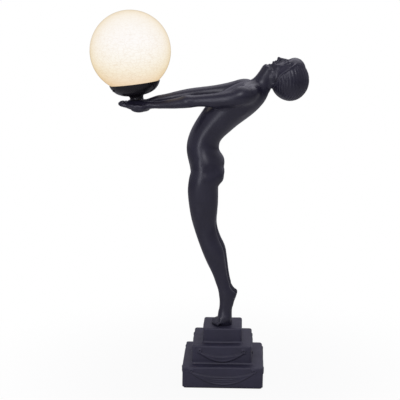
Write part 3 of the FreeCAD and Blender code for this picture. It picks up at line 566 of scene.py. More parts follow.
def bevelWhere(block, passes, offset, segments):  # rounds each edge whose two end heights pass
    bpy.ops.object.mode_set(mode="EDIT")
    bpy.ops.mesh.select_mode(type="EDGE")
    bpy.ops.mesh.select_all(action="DESELECT")
    leaveEdit()
    for edge in block.data.edges:
        edge.select = passes(*[block.data.vertices[v].co.z / mm for v in edge.vertices])
    bpy.ops.object.mode_set(mode="EDIT")
    bpy.ops.mesh.bevel(offset=offset * mm, segments=segments, affect="EDGES")
    leaveEdit()


def tierBlock(width, low, high):
    block = addBlock(width, low, high)
    bevelWhere(block, lambda z1, z2: abs(z1 - z2) > 1.0, baseSet["corner"], 5)
    bevelWhere(block, lambda z1, z2: min(z1, z2) > high - 0.01, baseSet["rim"], 4)
    return block


def footBead(width, height, out=1.2, half=2.1, corner=1.9):
    bead = addBlock(width + 2 * out, height - half, height + half)
    editAll(bead)
    bpy.ops.mesh.bevel(offset=corner * mm, segments=4, affect="EDGES")
    leaveEdit()
    return bead


def scroll(curl, radius):  # a thin round strip through points on a face
    made = []
    for (x1, y1, z1), (x2, _, z2) in zip(curl, curl[1:]):
        length = math.hypot(x2 - x1, z2 - z1)
        lean = math.degrees(math.atan2(x2 - x1, z2 - z1))
        made.append(addBall(((x1 + x2) / 2, y1, (z1 + z2) / 2), (radius, radius, length / 2 + radius * 0.8),
                            lean=lean, segments=12))
    return joinPieces(made)


# A hanging crescent with flutes along it and a curl at each horn, on the -Y face.
def swag(width, half, horn, lowest, middleTop, proud):
    face = -width / 2
    drop = horn - lowest
    thick = middleTop - lowest

    def sag(x, share):  # share 0 is the lower edge and 1 the upper
        t = min(abs(x) / half, 1.0)
        lower = horn - drop * (1 - t ** 1.9)
        return lower + thick * share * (1 - t ** 1.6)

    places = [half * s / 9 for s in range(-9, 10)]
    rows = []
    for x in places:
        low, top = sag(x, 0) - 0.9, sag(x, 1) + 0.9
        rows.append((x, face + 0.6, (low + top) / 2, 90, (top - low) / 2, proud * 0.8 + 0.4))
    made = [growTube(rows, sides=16)]
    for share, radius, standOff in fluteSet:
        y = face + 0.35 * proud - proud * standOff
        made.append(growTube([(x, y, sag(x, share), 90, radius, radius) for x in places], sides=10))
    for side in (-1, 1):
        curl = []
        for step in range(curlSet["steps"]):  # the scroll turns up and back in from the horn
            angle = math.radians(curlSet["start"] + curlSet["turn"] * step)
            size = curlSet["size"] - curlSet["shrink"] * step
            curl.append((side * (half + curlSet["out"] + size * math.cos(angle)),
                         face + curlSet["sunk"] - proud, horn + curlSet["up"] + size * math.sin(angle)))
        made.append(scroll(curl, curlSet["radius"]))
    return made


def turnedCopy(piece, degrees):  # a copy of its own mesh, turned about the base's middle
    pick(piece)
    bpy.ops.object.duplicate(linked=False)
    copy = bpy.context.object
    editAll(copy)
    turnSelected(degrees, "Z", (0, 0, 0))
    leaveEdit()
    return copy


def makeBase():
    solids = [tierBlock(*tier) for tier in baseSet["tiers"]]
    solids += [footBead(*bead) for bead in baseSet["beads"]]
    for tier, half, horn, lowest, middleTop, proud, turns in swagSet.values():
        relief = joinPieces(swag(baseSet["tiers"][tier][0], half, horn, lowest, middleTop, proud))
        solids.append(relief)
        solids += [turnedCopy(relief, turn) for turn in turns]
    base = joinPieces(solids)
    remesh(base, baseSet["cell"])
    smoothWhere(base, 3)
    finishModifier(base, "DECIMATE", ratio=baseSet["kept"])
    place = points(base)
    x, y, z = place.T  # the casting is never quite true: its faces and rims wander by less than a millimetre
    away = np.stack([np.sin(z * 0.11 + 1.0) * np.cos(y * 0.061) + 0.6 * np.sin(y * 0.093 + z * 0.05),
                     np.sin(z * 0.09 + x * 0.05) * np.cos(x * 0.057 + 0.8),
                     np.cos(x * 0.071 + 0.4) * np.sin(y * 0.066 + 1.1)], axis=1)
    hold = np.clip((z - 2.0) / 6.0, 0, 1)[:, None]  # the foot stays flat
    place = place + away * hold * np.array(baseSet["wander"]) * baseSet["waviness"]
    place[:, 0] -= baseSet["offCentre"] * np.clip((z - 36.0) / 10.0, 0, 1)
    setPoints(base, np.clip(place, *[np.array(corner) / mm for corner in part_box("base_casting")]))
    rooms = [addBlock(*room) for room in baseSet["rooms"]]
    for room in rooms:
        finishModifier(base, "BOOLEAN", operation="DIFFERENCE", object=room, solver="EXACT")
    pick(*rooms)
    bpy.ops.object.delete()
    shadeSoft(base, 50)
    dress(base, "steppedBase", baseFinish, "resin_black", "stand", "base_casting")


makeBase()
print("base cast")


# Figure
legRows = [  # x, y, z, lean, half depth, half width of one leg
    (3.4, 10.6, 101.0, 0, 13.6, 9.8),
    (2.6, 10.6, 112.0, 0, 13.6, 9.9),
    (2.6, 10.4, 122.0, 0, 13.4, 9.5),
    (4.4, 10.2, 136.0, 2, 13.2, 9.1),
    (7.2, 10.2, 150.0, 4, 14.6, 9.1),
    (8.0, 10.2, 162.0, 2, 16.2, 9.4),
    (4.2, 10.0, 175.0, -4, 14.0, 9.3),
    (-0.6, 9.9, 188.0, -9, 13.3, 9.3),
    (-6.0, 11.4, 209.0, -15, 14.8, 10.9),
    (-12.0, 13.8, 230.0, -17, 18.0, 13.6),
    (-19.8, 15.8, 253.0, -20, 19.6, 15.6),
    (-29.0, 16.0, 277.0, -18, 19.6, 15.9),
    (-35.0, 16.6, 299.0, -12, 21.1, 16.4),
    (-37.4, 18.8, 321.0, -6, 24.8, 18.9),
    (-39.0, 21.6, 350.0, -2, 27.6, 22.2),
    (-39.5, 23.4, 374.0, 0, 28.2, 24.6),
    (-36.5, 24.0, 394.0, 0, 28.5, 25.5),
    (-35.0, 23.0, 410.0, 0, 26.0, 22.0),
    (-36.0, 19.0, 426.0, 4, 20.0, 16.0),
]
trunkRows = [  # x, y, z, lean, half depth, half width of the trunk and neck
    (-36.0, 0, 384.0, 0, 20.0, 34.0),
    (-34.0, 0, 394.0, 0, 28.0, 43.0),
    (-32.5, 0, 410.0, 0, 31.8, 47.0),
    (-34.9, 0, 431.0, 4, 34.9, 43.5),
    (-40.0, 0, 450.0, 14, 31.2, 38.0),
    (-34.0, 0, 471.0, 27, 30.4, 36.5),
    (-20.8, 0, 490.6, 40, 31.9, 38.5),
    (-1.3, 0, 512.7, 48, 34.2, 43.0),
    (24.5, 0, 531.2, 53, 33.2, 46.0),
    (46.4, 0, 545.7, 52, 29.8, 40.0),
    (60.5, 0, 556.0, 45, 23.8, 27.5),
    (68.8, 0, 565.9, 38, 19.2, 18.8),
    (75.5, 0, 576.5, 34, 17.4, 16.0),
    (81.0, 0, 585.0, 36, 17.2, 15.8),
    (87.0, 0, 592.5, 40, 17.0, 15.8),
]
armRows = [  # x, y, z, lean, half height, half width of the arm down to the wrist
    (62.0, 25.0, 549.0, 90, 8.0, 7.0),
    (54.0, 34.0, 549.5, 90, 14.5, 12.0),
    (43.0, 42.0, 549.8, 90, 18.0, 15.0),
    (30.0, 45.8, 548.6, 90, 18.2, 15.6),
    (14.0, 46.0, 545.5, 90, 16.8, 14.6),
    (-6.0, 43.6, 542.8, 90, 15.0, 13.0),
    (-26.0, 40.5, 541.0, 90, 13.6, 12.0),
    (-46.0, 36.8, 540.0, 90, 12.4, 11.4),
    (-62.0, 33.8, 538.0, 90, 12.6, 12.2),
    (-80.0, 30.4, 535.5, 90, 12.0, 11.8),
    (-100.0, 26.0, 532.8, 90, 10.2, 10.2),
    (-118.0, 21.0, 530.6, 90, 8.6, 9.2),
    (-130.0, 17.6, 529.6, 90, 7.6, 9.8),
    (-142.0, 14.4, 528.6, 90, 7.2, 11.4),
    (-152.0, 13.0, 527.6, 90, 6.6, 11.6),
]
bodyMasses = [  # x, y, z, half sizes, lean, swing, roll
    (-24.0, 19.0, 512.0, (13.0, 14.5, 15.5), 45, 0, 0),  # breast
    (-16.0, 21.5, 399.0, (17.0, 19.5, 22.5), 0, 0, 0),  # buttock
    (-40.0, 24.0, 418.0, (20.0, 22.0, 30.0), 0, 0, 0),  # hip
    (-44.0, 22.0, 350.0, (20.5, 20.5, 62.0), -4, 0, 0),  # front of the thigh
    (-50.5, 16.8, 302.0, (6.0, 8.5, 11.0), -12, 0, 0),  # kneecap
    (-10.0, 15.8, 250.0, (12.5, 12.8, 30.0), -16, 0, 0),  # calf
    (0.0, 10.2, 188.0, (6.0, 10.8, 6.0), 0, 0, 0),  # ankle bones
    (17.4, 10.2, 163.0, (8.6, 7.8, 10.0), -8, 0, 0),  # heel
    (2.0, 17.5, 118.0, (12.0, 6.0, 9.0), 0, 0, 0),  # outer ball of the foot
    (32.0, 45.0, 550.5, (22.0, 15.0, 18.5), 0, 0, 0),  # shoulder
    (-14.0, 42.4, 540.4, (24.0, 11.6, 14.0), 4, 0, 0),  # upper arm
    (-66.0, 34.0, 538.4, (20.0, 12.8, 12.9), 2, 10, 0),  # forearm
    (51.0, 21.0, 551.5, (14.0, 25.0, 16.0), 45, 0, 14),  # slope from the neck to the shoulder
    (38.0, 21.0, 566.0, (3.4, 19.0, 3.4), 0, 8, -8),  # collar bone
    (70.0, 9.0, 576.0, (24.0, 4.4, 4.8), -10, 18, 0),  # long neck muscle
    (35.5, 27.0, 517.5, (7.0, 14.0, 18.0), 52, 0, 0),  # shoulder blade
]
handSet = {
    "palm": [  # x, y, z, half length, half width, half height, lean
        (-156.0, 13.5, 527.2, 19.0, 13.5, 9.8, 2),
        (-158.0, 20.5, 522.6, 16.0, 8.5, 8.0, 0),
        (-154.0, 9.0, 522.0, 17.0, 8.0, 7.5, 2),
        (-171.0, 13.0, 528.0, 14.0, 13.8, 8.6, 3),
        (-163.5, 6.5, 529.4, 15.5, 10.0, 8.3, 5),
    ],
    "fingers": [  # y at the knuckle, y at the tip, x of the tip, radius
        (4.4, 3.6, -193.5, 4.3), (10.4, 9.2, -197.6, 4.6), (16.6, 15.0, -196.2, 4.5),
        (22.4, 20.4, -190.5, 4.1),
    ],
    "thumb": [  # x, y, z, radius
        (-146.0, 25.0, 524.5, 5.4), (-156.0, 28.6, 525.6, 4.8), (-166.0, 28.4, 527.2, 4.0),
        (-176.0, 25.6, 528.6, 3.0),
    ],
}
toeSet = [  # y at the ball, y at the tip, x of the tip, radius
    (5.2, 4.2, -23.0, 4.6), (10.6, 10.2, -21.6, 3.5), (14.8, 14.8, -19.4, 3.2), (18.4, 18.8, -16.6, 3.0),
    (21.2, 22.2, -13.4, 2.8)]


def fingerTube(start, knuckle, tip, radius):  # one finger or toe through three places, rounded off at the tip
    start, knuckle, tip = [np.array(p, float) for p in (start, knuckle, tip)]
    rows = []
    for share, size in ((0.0, 1.05), (0.35, 1.0), (0.55, 0.93), (0.8, 0.86), (0.95, 0.7), (1.0, 0.4)):
        place = (1 - share) ** 2 * start + 2 * share * (1 - share) * knuckle + share ** 2 * tip
        rows.append((*place, -90, radius * size, radius * size))
    return growTube(rows, sides=12)


def makeHand(side):
    made = []
    for x, y, z, along, across, high, lean in handSet["palm"]:
        made.append(addBall((x, side * y, z), (along, across, high), lean=lean))
    for knuckleY, tipY, tipX, radius in handSet["fingers"]:
        made.append(fingerTube((-160, side * knuckleY, 526.4), (-180, side * (knuckleY + tipY) / 2, 524.6),
                               (tipX, side * tipY, 530.2), radius))
        made.append(addBall((tipX + radius * 1.2, side * tipY, 529.6),
                            (radius * 1.25, radius * 0.95, radius * 0.9), lean=10, segments=16))
    for (x1, y1, z1, r1), (x2, y2, z2, r2) in zip(handSet["thumb"], handSet["thumb"][1:]):
        swing = math.degrees(math.atan2(side * (y2 - y1), x2 - x1))
        length = math.hypot(x2 - x1, y2 - y1)
        made.append(addBall(((x1 + x2) / 2, side * (y1 + y2) / 2, (z1 + z2) / 2),
                            (length / 2 + r1, (r1 + r2) / 2, (r1 + r2) / 2), swing=swing, segments=20))
    return made


def makeFoot(side):
    made = []
    for ballY, tipY, tipX, radius in toeSet:
        made.append(fingerTube((-2, side * ballY, 111.5), (-11, side * (ballY + tipY) / 2, 112.5),
                               (tipX, side * tipY, 105.2 + radius), radius))
        made.append(addBall((tipX + radius, side * tipY, 105.3 + radius),
                            (radius * 1.08, radius * 1.02, radius), segments=16))
    made.append(addBall((0.0, side * 12.4, 111.5), (11.5, 10.6, 7.2)))
    return made


figureSet = {
    "cell": 1.33, "blend": 60, "blendLoss": 11.0, "neckPlane": (67.0, 565.5, 40.0),  # x, z, lean
    "shoulderRise": {-1: (-1.3, -1.3), 1: (4.0, 1.6)},  # of each arm: how far it is lifted and swollen
    "calfShift": {-1: -1.8, 1: 1.0}, "calfThinner": 0.5,  # the calves stand apart, so that both show
    "calfHeights": ([128, 165, 250, 330], [0, 1, 1, 0]), "calf": (155, 260),
    "hand": -138, "foot": 128, "fineBlend": 2,  # hands lie below this x, feet below this z
    "wrist": (-150, -126), "instep": (120, 138, -30), "wristBlend": 8,
    "ankle": (107, 142, -6, 30), "ankleBlend": 30, "sole": 104.6, "soleTop": 107, "soleReach": 40,
    "armSeam": 18.0,
    "armUnder": ([-200, -100, -60, -45, -20, 20], [500, 510, 521.5, 524.5, 526.0, 527.0]),  # x, lowest z
    "armInside": ([-200, -110, -60, -30, 0, 20], [0.0, 0.0, 6.0, 16.0, 24.0, 29.0]),  # x, least distance out
}


def legRowsOf(side):
    made = []
    for x, y, z, lean, depth, width in legRows:
        share = float(np.interp(z, *figureSet["calfHeights"]))
        made.append((x + figureSet["calfShift"][side] * share, side * y, z, lean,
                     depth - figureSet["calfThinner"] * share, width))
    return made


def armRowsOf(side):
    rise, swell = figureSet["shoulderRise"][side]
    made = []
    for i, (x, y, z, lean, depth, width) in enumerate(armRows):
        wrist = i >= len(armRows) - 2  # the wrist keeps its size and is lifted less
        lift, grown = (rise * 0.4, depth) if wrist else (rise, depth + swell)
        made.append((x, side * y, z + lift, lean, grown, width))
    return made


def makeTrunk():
    parts = [growTube(trunkRows, sides=32, loss=figureSet["blendLoss"])]
    for side in (-1, 1):
        parts += [growTube(rows, loss=figureSet["blendLoss"]) for rows in (legRowsOf(side), armRowsOf(side))]
        parts += makeHand(side) + makeFoot(side)
    calfFrom, calfTo = figureSet["calf"]
    for x, y, z, size, lean, swing, roll in bodyMasses:
        for side in (-1, 1):
            lift = figureSet["shoulderRise"][side][0] if y > 30 and z > 530 else 0.0
            shift = figureSet["calfShift"][side] if calfFrom < z < calfTo else 0.0
            parts.append(addBall((x + shift, side * y, z + lift), size, lean, side * swing, side * roll))
    trunk = joinPieces(parts)
    remesh(trunk, figureSet["cell"])
    x, y, z = points(trunk).T
    fine = (x < figureSet["hand"]) | (z < figureSet["foot"])
    smoothWhere(trunk, figureSet["blend"], ~fine)
    smoothWhere(trunk, figureSet["fineBlend"], fine)
    tip, arm = figureSet["wrist"]
    low, high, front = figureSet["instep"]
    wrists, insteps = (x > tip) & (x < arm), (z > low) & (z < high) & (x > front)
    smoothWhere(trunk, figureSet["wristBlend"], wrists | insteps)
    low, high, front, back = figureSet["ankle"]
    smoothWhere(trunk, figureSet["ankleBlend"], (z > low) & (z < high) & (x > front) & (x < back))
    return trunk


nudges = [  # place on the +Y side, move, reach; each is made on both sides
    ((-6.0, 0.0, 470.0), (-1.6, 0, 1.0), 24.0),  # small of the back
    ((-4.0, 20.0, 379.0), (-2.2, 0, 0.8), 10.0),  # under the buttock
    ((-24.0, 44.0, 408.0), (0.0, -1.8, 0.0), 17.0),  # side of the hip
    ((25.0, 10.2, 168.0), (1.8, 0, 1.0), 8.0),  # heel
    ((15.0, 10.0, 181.0), (-1.2, 0, 0.6), 7.0),  # above the heel
    ((-70.5, 0.0, 452.0), (1.2, 0, 0.0), 4.0),  # navel
    ((-58.0, 15.0, 411.0), (1.4, 0, 0.7), 14.0),  # groin
]
spineSet = {"low": (-8.0, 464.0), "high": (58.0, 530.0), "steps": 12, "move": (-0.42, 0, 0.5), "reach": 13.0}


def shapeTrunk(trunk):
    for share in np.linspace(0, 1, spineSet["steps"]):
        x, z = (1 - share) * np.array(spineSet["low"]) + share * np.array(spineSet["high"])
        nudge(trunk, (x, 0, z), spineSet["move"], spineSet["reach"])
    for spot, move, reach in nudges:
        nudge(trunk, spot, move, reach)
    place = points(trunk)  # the soles and toes are flat on the base
    foot = (place[:, 2] < figureSet["soleTop"]) & (abs(place[:, 0]) < figureSet["soleReach"])
    place[foot, 2] = np.maximum(place[foot, 2], figureSet["sole"])
    setPoints(trunk, place)


# Head, made upright facing -X about its own middle and then laid back
headSet = {
    "centre": (118.0, 0.0, 577.0), "layBack": 80.7, "cell": 0.7, "blend": 8, "skin": -2.5, "skinBlend": 70,
    "skinFinish": 8, "details": (-26, 9.5, -27, 2),  # nose and mouth: furthest back, half width, low, high
}
headMasses = [  # x, y, z, half sizes, lean, swing, roll; y of 0 is on the middle
    (4.0, 0.0, 2.0, (36.5, 29.5, 33.5), 0, 0, 0),  # skull
    (-14.0, 0.0, 14.0, (22.5, 23.0, 19.5), 0, 0, 0),  # forehead
    (-12.0, 0.0, -8.0, (21.5, 21.5, 22.0), 0, 0, 0),  # middle of the face
    (-12.0, 0.0, -22.0, (17.5, 17.0, 13.5), 8, 0, 0),  # jaw
    (-14.0, 11.5, -25.5, (15.5, 6.5, 6.5), 24, 30, 0),  # line of the jaw
    (-25.6, 0.0, -30.8, (7.6, 8.2, 6.4), 0, 0, 0),  # chin
    (-27.6, 8.6, 6.0, (5.2, 10.0, 3.8), 0, 16, -6),  # brow
    (-20.5, 14.0, -7.0, (8.6, 6.8, 7.0), 0, 24, 0),  # cheek bone
    (-22.5, 9.0, -16.0, (9.0, 8.5, 9.5), 0, 0, 0),  # cheek
    (-26.6, 10.2, -0.8, (5.8, 7.2, 5.4), 0, 14, 0),  # closed eye
    (-27.0, 0.0, -21.0, (7.6, 10.0, 7.6), 0, 0, 0),  # round of the mouth
    (-39.4, 0.0, -12.4, (3.3, 3.2, 3.0), 0, 0, 0),  # tip of the nose
    (-35.2, 3.7, -13.4, (3.9, 2.7, 3.0), 0, 16, 0),  # nostril wing
    (-33.9, 2.3, -19.3, (2.8, 5.2, 2.2), 0, 16, 8),  # upper lip
    (-33.3, 0.0, -23.2, (3.2, 6.2, 2.6), 0, 0, 0),  # lower lip
]
noseRows = [(-29.5, 0, 8.0, 0, 3.4, 4.6), (-31.6, 0, 3.0, 0, 4.2, 3.2), (-33.4, 0, -3.0, 0, 4.7, 3.0),
            (-35.0, 0, -8.0, 0, 5.0, 3.4), (-35.8, 0, -12.4, 0, 5.2, 4.0), (-34.6, 0, -15.6, 0, 4.2, 3.6),
            (-32.6, 0, -16.8, 0, 2.4, 2.4)]
faceLines = [  # how far each place on the smooth head is pushed in, reach, places
    (2.0, 4.4, [(-31.0, 5.0, 0.6)]),  # beside the bridge of the nose
    (0.7, 2.6, [(-31.5, 7.6, 3.2), (-31.0, 11.0, 3.8), (-29.0, 14.4, 3.0)]),  # fold over the lid
    (0.5, 1.7, [(-32.0, 6.0, -2.4), (-32.0, 7.4, -3.0), (-32.0, 8.8, -3.4), (-32.0, 10.2, -3.6),
                (-32.0, 11.6, -3.5), (-31.0, 13.0, -3.1), (-31.0, 14.4, -2.5)]),  # line of the closed lids
    (0.8, 1.9, [(-36.0, 0.0, -21.2), (-36.0, 1.6, -21.1), (-36.0, 3.2, -21.0), (-35.0, 4.8, -20.9)]),  # mouth
    (0.9, 1.9, [(-34.0, 6.2, -20.7)]),  # corner of the mouth
    (1.6, 4.4, [(-33.0, 0.0, -26.6)]),  # under the lip
    (0.6, 2.0, [(-34.0, 0.0, -17.4)]),  # over the lip
]
hairSet = {
    "centre": (2.3, 0.0, 1.2), "size": (39.5, 32.6, 35.85), "band": 2.3,
    "frontCut": (-19.1, 4.5, 0.911, 0.412), "napeCut": (-9.0, -16.0, 0.594, 0.804),  # x, z, the normal's x, z
    "hairline": [(-28.2, 24.4), (-26.4, 20.4), (-19.1, 4.5), (-12.5, -10.2), (-9.0, -16.0), (-4.0, -19.8),
                 (5.0, -26.4), (13.6, -32.6)],
}
combSet = {"start": 2.4, "fade": 3.0, "outer": 0.86, "below": 30.0, "beside": 10.0, "radius": 46.0,
           "strand": 4.6, "finer": 4.6, "fineShare": 0.22, "depth": 0.8}


def hairSide(x, z, cut):  # how far a point of the upright head lies on the hair's side of a cut
    atX, atZ, acrossX, acrossZ = cut
    return (x - atX) * acrossX + (z - atZ) * acrossZ


def onHair(x, z):  # how far the ball of the hair stands off the middle at x, z
    cx, _, cz = hairSet["centre"]
    ax, ay, az = hairSet["size"]
    return ay * math.sqrt(max(1 - ((x - cx) / ax) ** 2 - ((z - cz) / az) ** 2, 0.0))


# A close cap: the ball's face side and nape are cut off along the hairline, and a roll follows the cut.
def makeHair():
    cap = addBall(hairSet["centre"], hairSet["size"], segments=64)
    for cutX, cutZ, acrossX, acrossZ in (hairSet["frontCut"], hairSet["napeCut"]):
        cutAt(cap, (cutX, 0, cutZ), (acrossX, 0, acrossZ), clear_inner=True, use_fill=True)
    made = [cap]
    for (x1, z1), (x2, z2) in zip(hairSet["hairline"], hairSet["hairline"][1:]):
        crown = z1 > 24  # here the line turns over the middle, so the steps start small
        steps = 16 if crown else max(int(math.hypot(x2 - x1, z2 - z1) / 1.6), 2)
        for step in range(steps):
            share = (step / steps) ** (2 if crown else 1)
            x, z = x1 + (x2 - x1) * share, z1 + (z2 - z1) * share
            made += addMasses((x, max(onHair(x, z) - 0.9, 0.01), z, (hairSet["band"],) * 3, 0, 0, 0))
    return made


def combHair(head):  # combed grooves that run back round the head from the hairline, with finer ones between
    place = points(head)
    x, y, z = place.T
    cx, _, cz = hairSet["centre"]
    ax, ay, az = hairSet["size"]
    strength = (((x - cx) / ax) ** 2 + (y / ay) ** 2 + ((z - cz) / az) ** 2 > combSet["outer"])
    for cut in (hairSet["frontCut"], hairSet["napeCut"]):
        strength = strength * np.clip((hairSide(x, z, cut) - combSet["start"]) / combSet["fade"], 0, 1)
    around = np.arctan2(z - cz + combSet["below"], abs(y) + combSet["beside"]) * combSet["radius"]
    wander = 0.9 * np.sin(x * 0.13 + z * 0.05) + 0.5 * np.sin(x * 0.29 + y * 0.11 + 1.3)
    broad = np.abs(np.sin((around + wander) * math.pi / combSet["strand"])) ** 0.7 - 0.6
    fine = np.sin((around + wander * 1.4) * math.pi / combSet["strand"] * combSet["finer"] + 0.7)
    lift = (broad + combSet["fineShare"] * fine) * strength * combSet["depth"]
    setPoints(head, place + vertexValues(head, "normal") * lift[:, None])


def makeHead():
    head = joinPieces([growTube(noseRows, sides=16)] + addMasses(*headMasses) + makeHair())
    remesh(head, headSet["cell"])
    smoothWhere(head, headSet["blend"])
    x, y, z = points(head).T
    nearest = np.minimum(*[hairSide(x, z, hairSet[cut]) for cut in ("frontCut", "napeCut")])
    skin = nearest < headSet["skin"]
    back, half, low, high = headSet["details"]
    smoothWhere(head, headSet["skinBlend"], skin & ~((x < back) & (abs(y) < half) & (z > low) & (z < high)))
    smoothWhere(head, headSet["skinFinish"], skin)
    for push, reach, spots in faceLines:
        for spot in spots:
            nudge(head, spot, (push, 0, 0), reach)
    combHair(head)
    return turnAndPlace(head, headSet["layBack"], headSet["centre"])


neckSet = {
    "from": 40, "throat": (-16, -22, -2.0), "underJaw": (-19, -27, -3.0),  # top, front, gap to the hair
    "throatLow": -38, "throatBlend": 110, "underJawLow": -34, "underJawBlend": 12, "seam": 8, "seamBlend": 30,
}
neckRows = [row for row in trunkRows if row[0] > neckSet["from"]] + [(94.0, 0, 586.5, 56, 14.5, 15.0)]
neckMasses = bodyMasses[-4:-1] + [(90.0, 7.0, 571.0, (15.0, 10.0, 12.5), 20, 0, 0)]


def neckNormal():
    lean = math.radians(figureSet["neckPlane"][2])
    return (math.sin(lean), 0, math.cos(lean))


def neckSide(place):  # how far a point lies beyond the joint between neck and head
    x, z, _ = figureSet["neckPlane"]
    acrossX, _, acrossZ = neckNormal()
    return (place[:, 0] - x) * acrossX + (place[:, 2] - z) * acrossZ


def joinNeck(head):  # head and neck in one fine skin, smoothed where they meet
    neck = [growTube(neckRows, sides=32, loss=figureSet["blendLoss"])] + addMasses(*neckMasses)
    upper = joinPieces([head, joinPieces(neck)])
    remesh(upper, headSet["cell"])
    x, _, z = points(upper).T
    middleX, _, middleZ = headSet["centre"]
    lay = math.radians(headSet["layBack"])
    ahead = (x - middleX) * math.cos(lay) - (z - middleZ) * math.sin(lay)  # the head's own x and z
    above = (x - middleX) * math.sin(lay) + (z - middleZ) * math.cos(lay)
    nape = hairSide(ahead, above, hairSet["napeCut"])

    def zone(top, front, short):
        return (above < top) & (ahead > front) & (nape < short)

    smoothWhere(upper, neckSet["throatBlend"], zone(*neckSet["throat"]) | (above < neckSet["throatLow"]))
    underJaw = zone(*neckSet["underJaw"]) & (above > neckSet["underJawLow"])
    smoothWhere(upper, neckSet["underJawBlend"], underJaw)
    return upper


def makeFigure():  # body and head in one skin, so that no joint shows
    trunk = makeTrunk()
    shapeTrunk(trunk)
    print("trunk shaped", len(trunk.data.polygons))
    head = makeHead()
    print("head shaped", len(head.data.polygons))
    upper = joinNeck(head)
    x, z, _ = figureSet["neckPlane"]
    cutAt(trunk, (x, 0, z), neckNormal(), clear_outer=True)
    cutAt(upper, (x, 0, z), neckNormal(), clear_inner=True)
    figure = joinPieces([trunk, upper])
    bpy.ops.object.mode_set(mode="EDIT")
    bpy.ops.mesh.select_mode(type="EDGE")
    bpy.ops.mesh.select_all(action="DESELECT")
    bpy.ops.mesh.select_non_manifold(extend=False)
    bpy.ops.mesh.bridge_edge_loops()
    leaveEdit()
    place = points(figure)
    seam = (abs(neckSide(place)) < neckSet["seam"]) & (place[:, 0] > neckSet["from"])
    smoothWhere(figure, neckSet["seamBlend"], seam)
    return figure


def splitOff(figure, chosen):  # takes the faces whose corners are all chosen into a piece of their own
    selectPoints(figure, chosen)
    bpy.ops.mesh.select_mode(type="FACE")
    bpy.ops.mesh.separate(type="SELECTED")
    leaveEdit()
    return [o for o in bpy.context.selected_objects if o != figure][0]


def armZone(place, side):  # the arm from its joint at the shoulder to the finger tips
    x, y, z = place.T
    inside = np.interp(x, *figureSet["armInside"])
    return (x < figureSet["armSeam"]) & (side * y > inside) & (z > np.interp(x, *figureSet["armUnder"]))


def roundedKeys(piece):
    return [tuple(key) for key in np.round(points(piece), 3).tolist()]


# One skin cut into four pieces, which keep the normals of the whole, so that the joints don't show.
def dressFigure():
    figure = makeFigure()
    normalAt = dict(zip(roundedKeys(figure), vertexValues(figure, "normal")))
    head = splitOff(figure, (neckSide(points(figure)) > 0.4) & (points(figure)[:, 0] > 50))
    arms = [splitOff(figure, armZone(points(figure), side)) for side in (-1, 1)]
    for piece, name, node in ((figure, "figureBody", "figure_body"), (head, "figureHead", "figure_head"),
                              (arms[0], "armLeft", "arm_left"), (arms[1], "armRight", "arm_right")):
        pick(piece)
        bpy.ops.object.shade_smooth()
        kept = [normalAt.get(key, own) for key, own in zip(roundedKeys(piece), vertexValues(piece, "normal"))]
        piece.data.normals_split_custom_set_from_vertices([tuple(float(c) for c in n) for n in kept])
        dress(piece, name, figureFinish, "resin_black", "stand", node)
        print(name, len(piece.data.polygons), "faces")


dressFigure()


# Lamp head, turned about its own axis and then stood on the palms
cupSet = {
    "outline": [  # shares of the rim's radius and of the rise
        (0.46, 0.0), (0.58, 0.075), (0.69, 0.18), (0.77, 0.285), (0.83, 0.40), (0.89, 0.545), (0.94, 0.70),
        (0.975, 0.85), (1.0, 1.0)],
    "rimGap": 2.14, "footRoll": 1.4, "ledge": 18.0, "ledgeFrom": 18.6, "shelf": 16.4, "shelfRadius": 32.8,
    "bowlTop": 15.5, "bowlRadius": 31.0, "floor": 9.0, "floorRadius": 9.0,
}
bossSet = {"angles": (90, 210, 330), "middle": 42.2, "radius": 2.6, "length": 5.6}


# A turned piece of the lamp head; extras are joined to it.
def lampPiece(profile, name, material, slot, body, node, steps, closed=True, extras=(), angle=35):
    piece = spinProfile(profile, steps, closed)
    if extras:
        piece = joinPieces([piece, *extras])
    turnAndPlace(piece, -lampSizes["tilt"], lampSizes["palm"])
    shadeSoft(piece, angle)
    dress(piece, name, material, slot, body, node)


def addBoss(angle):  # a set screw's boss on the cup
    turn, middle = math.radians(angle), bossSet["middle"]
    clearSelection()
    bpy.ops.mesh.primitive_cylinder_add(
        vertices=32, radius=bossSet["radius"] * mm, depth=bossSet["length"] * mm,
        location=at(middle * math.cos(turn), middle * math.sin(turn), lampSizes["screwHeight"]),
        rotation=(0, math.pi / 2, turn))
    bpy.ops.object.transform_apply(location=True, rotation=True, scale=True)
    return bpy.context.object


def makeCup():
    wall, foot = lampSizes["cupWall"], lampSizes["stemHeight"]
    start, rimHeight = foot + cupSet["footRoll"], lampSizes["cupRim"]
    glassRadius = math.sqrt(lampSizes["globeRadius"] ** 2 - (lampSizes["globeCentre"] - rimHeight) ** 2)
    rimRadius = glassRadius + cupSet["rimGap"]
    outline = [(rimRadius * r, start + (rimHeight - start) * h) for r, h in cupSet["outline"]]
    inner = [(r - wall, h + 0.6 * wall) for r, h in outline[1:-1]]
    above = [p for p in inner if p[1] > cupSet["ledgeFrom"]]
    below = [p for p in inner if p[1] < cupSet["bowlTop"] and p[0] < cupSet["bowlRadius"]]
    profile = [(lampSizes["stemRadius"] + 1.0, foot), *outline]
    profile += [(rimRadius - 0.4, rimHeight + 0.5), (rimRadius - wall, rimHeight), *above[::-1]]
    profile += [(above[0][0] - 1.2, cupSet["ledge"]), (cupSet["shelfRadius"], cupSet["ledge"])]
    profile += [(cupSet["shelfRadius"], cupSet["shelf"]), *below[::-1]]
    profile += [(cupSet["floorRadius"], cupSet["floor"]), (lampSizes["nipple"], cupSet["floor"])]
    profile += [(lampSizes["nipple"], foot)]
    bosses = [addBoss(angle) for angle in bossSet["angles"]]
    lampPiece(profile, "galleryCup", cupFinish, "cup_black", "stand", "gallery_cup", 128, extras=bosses)


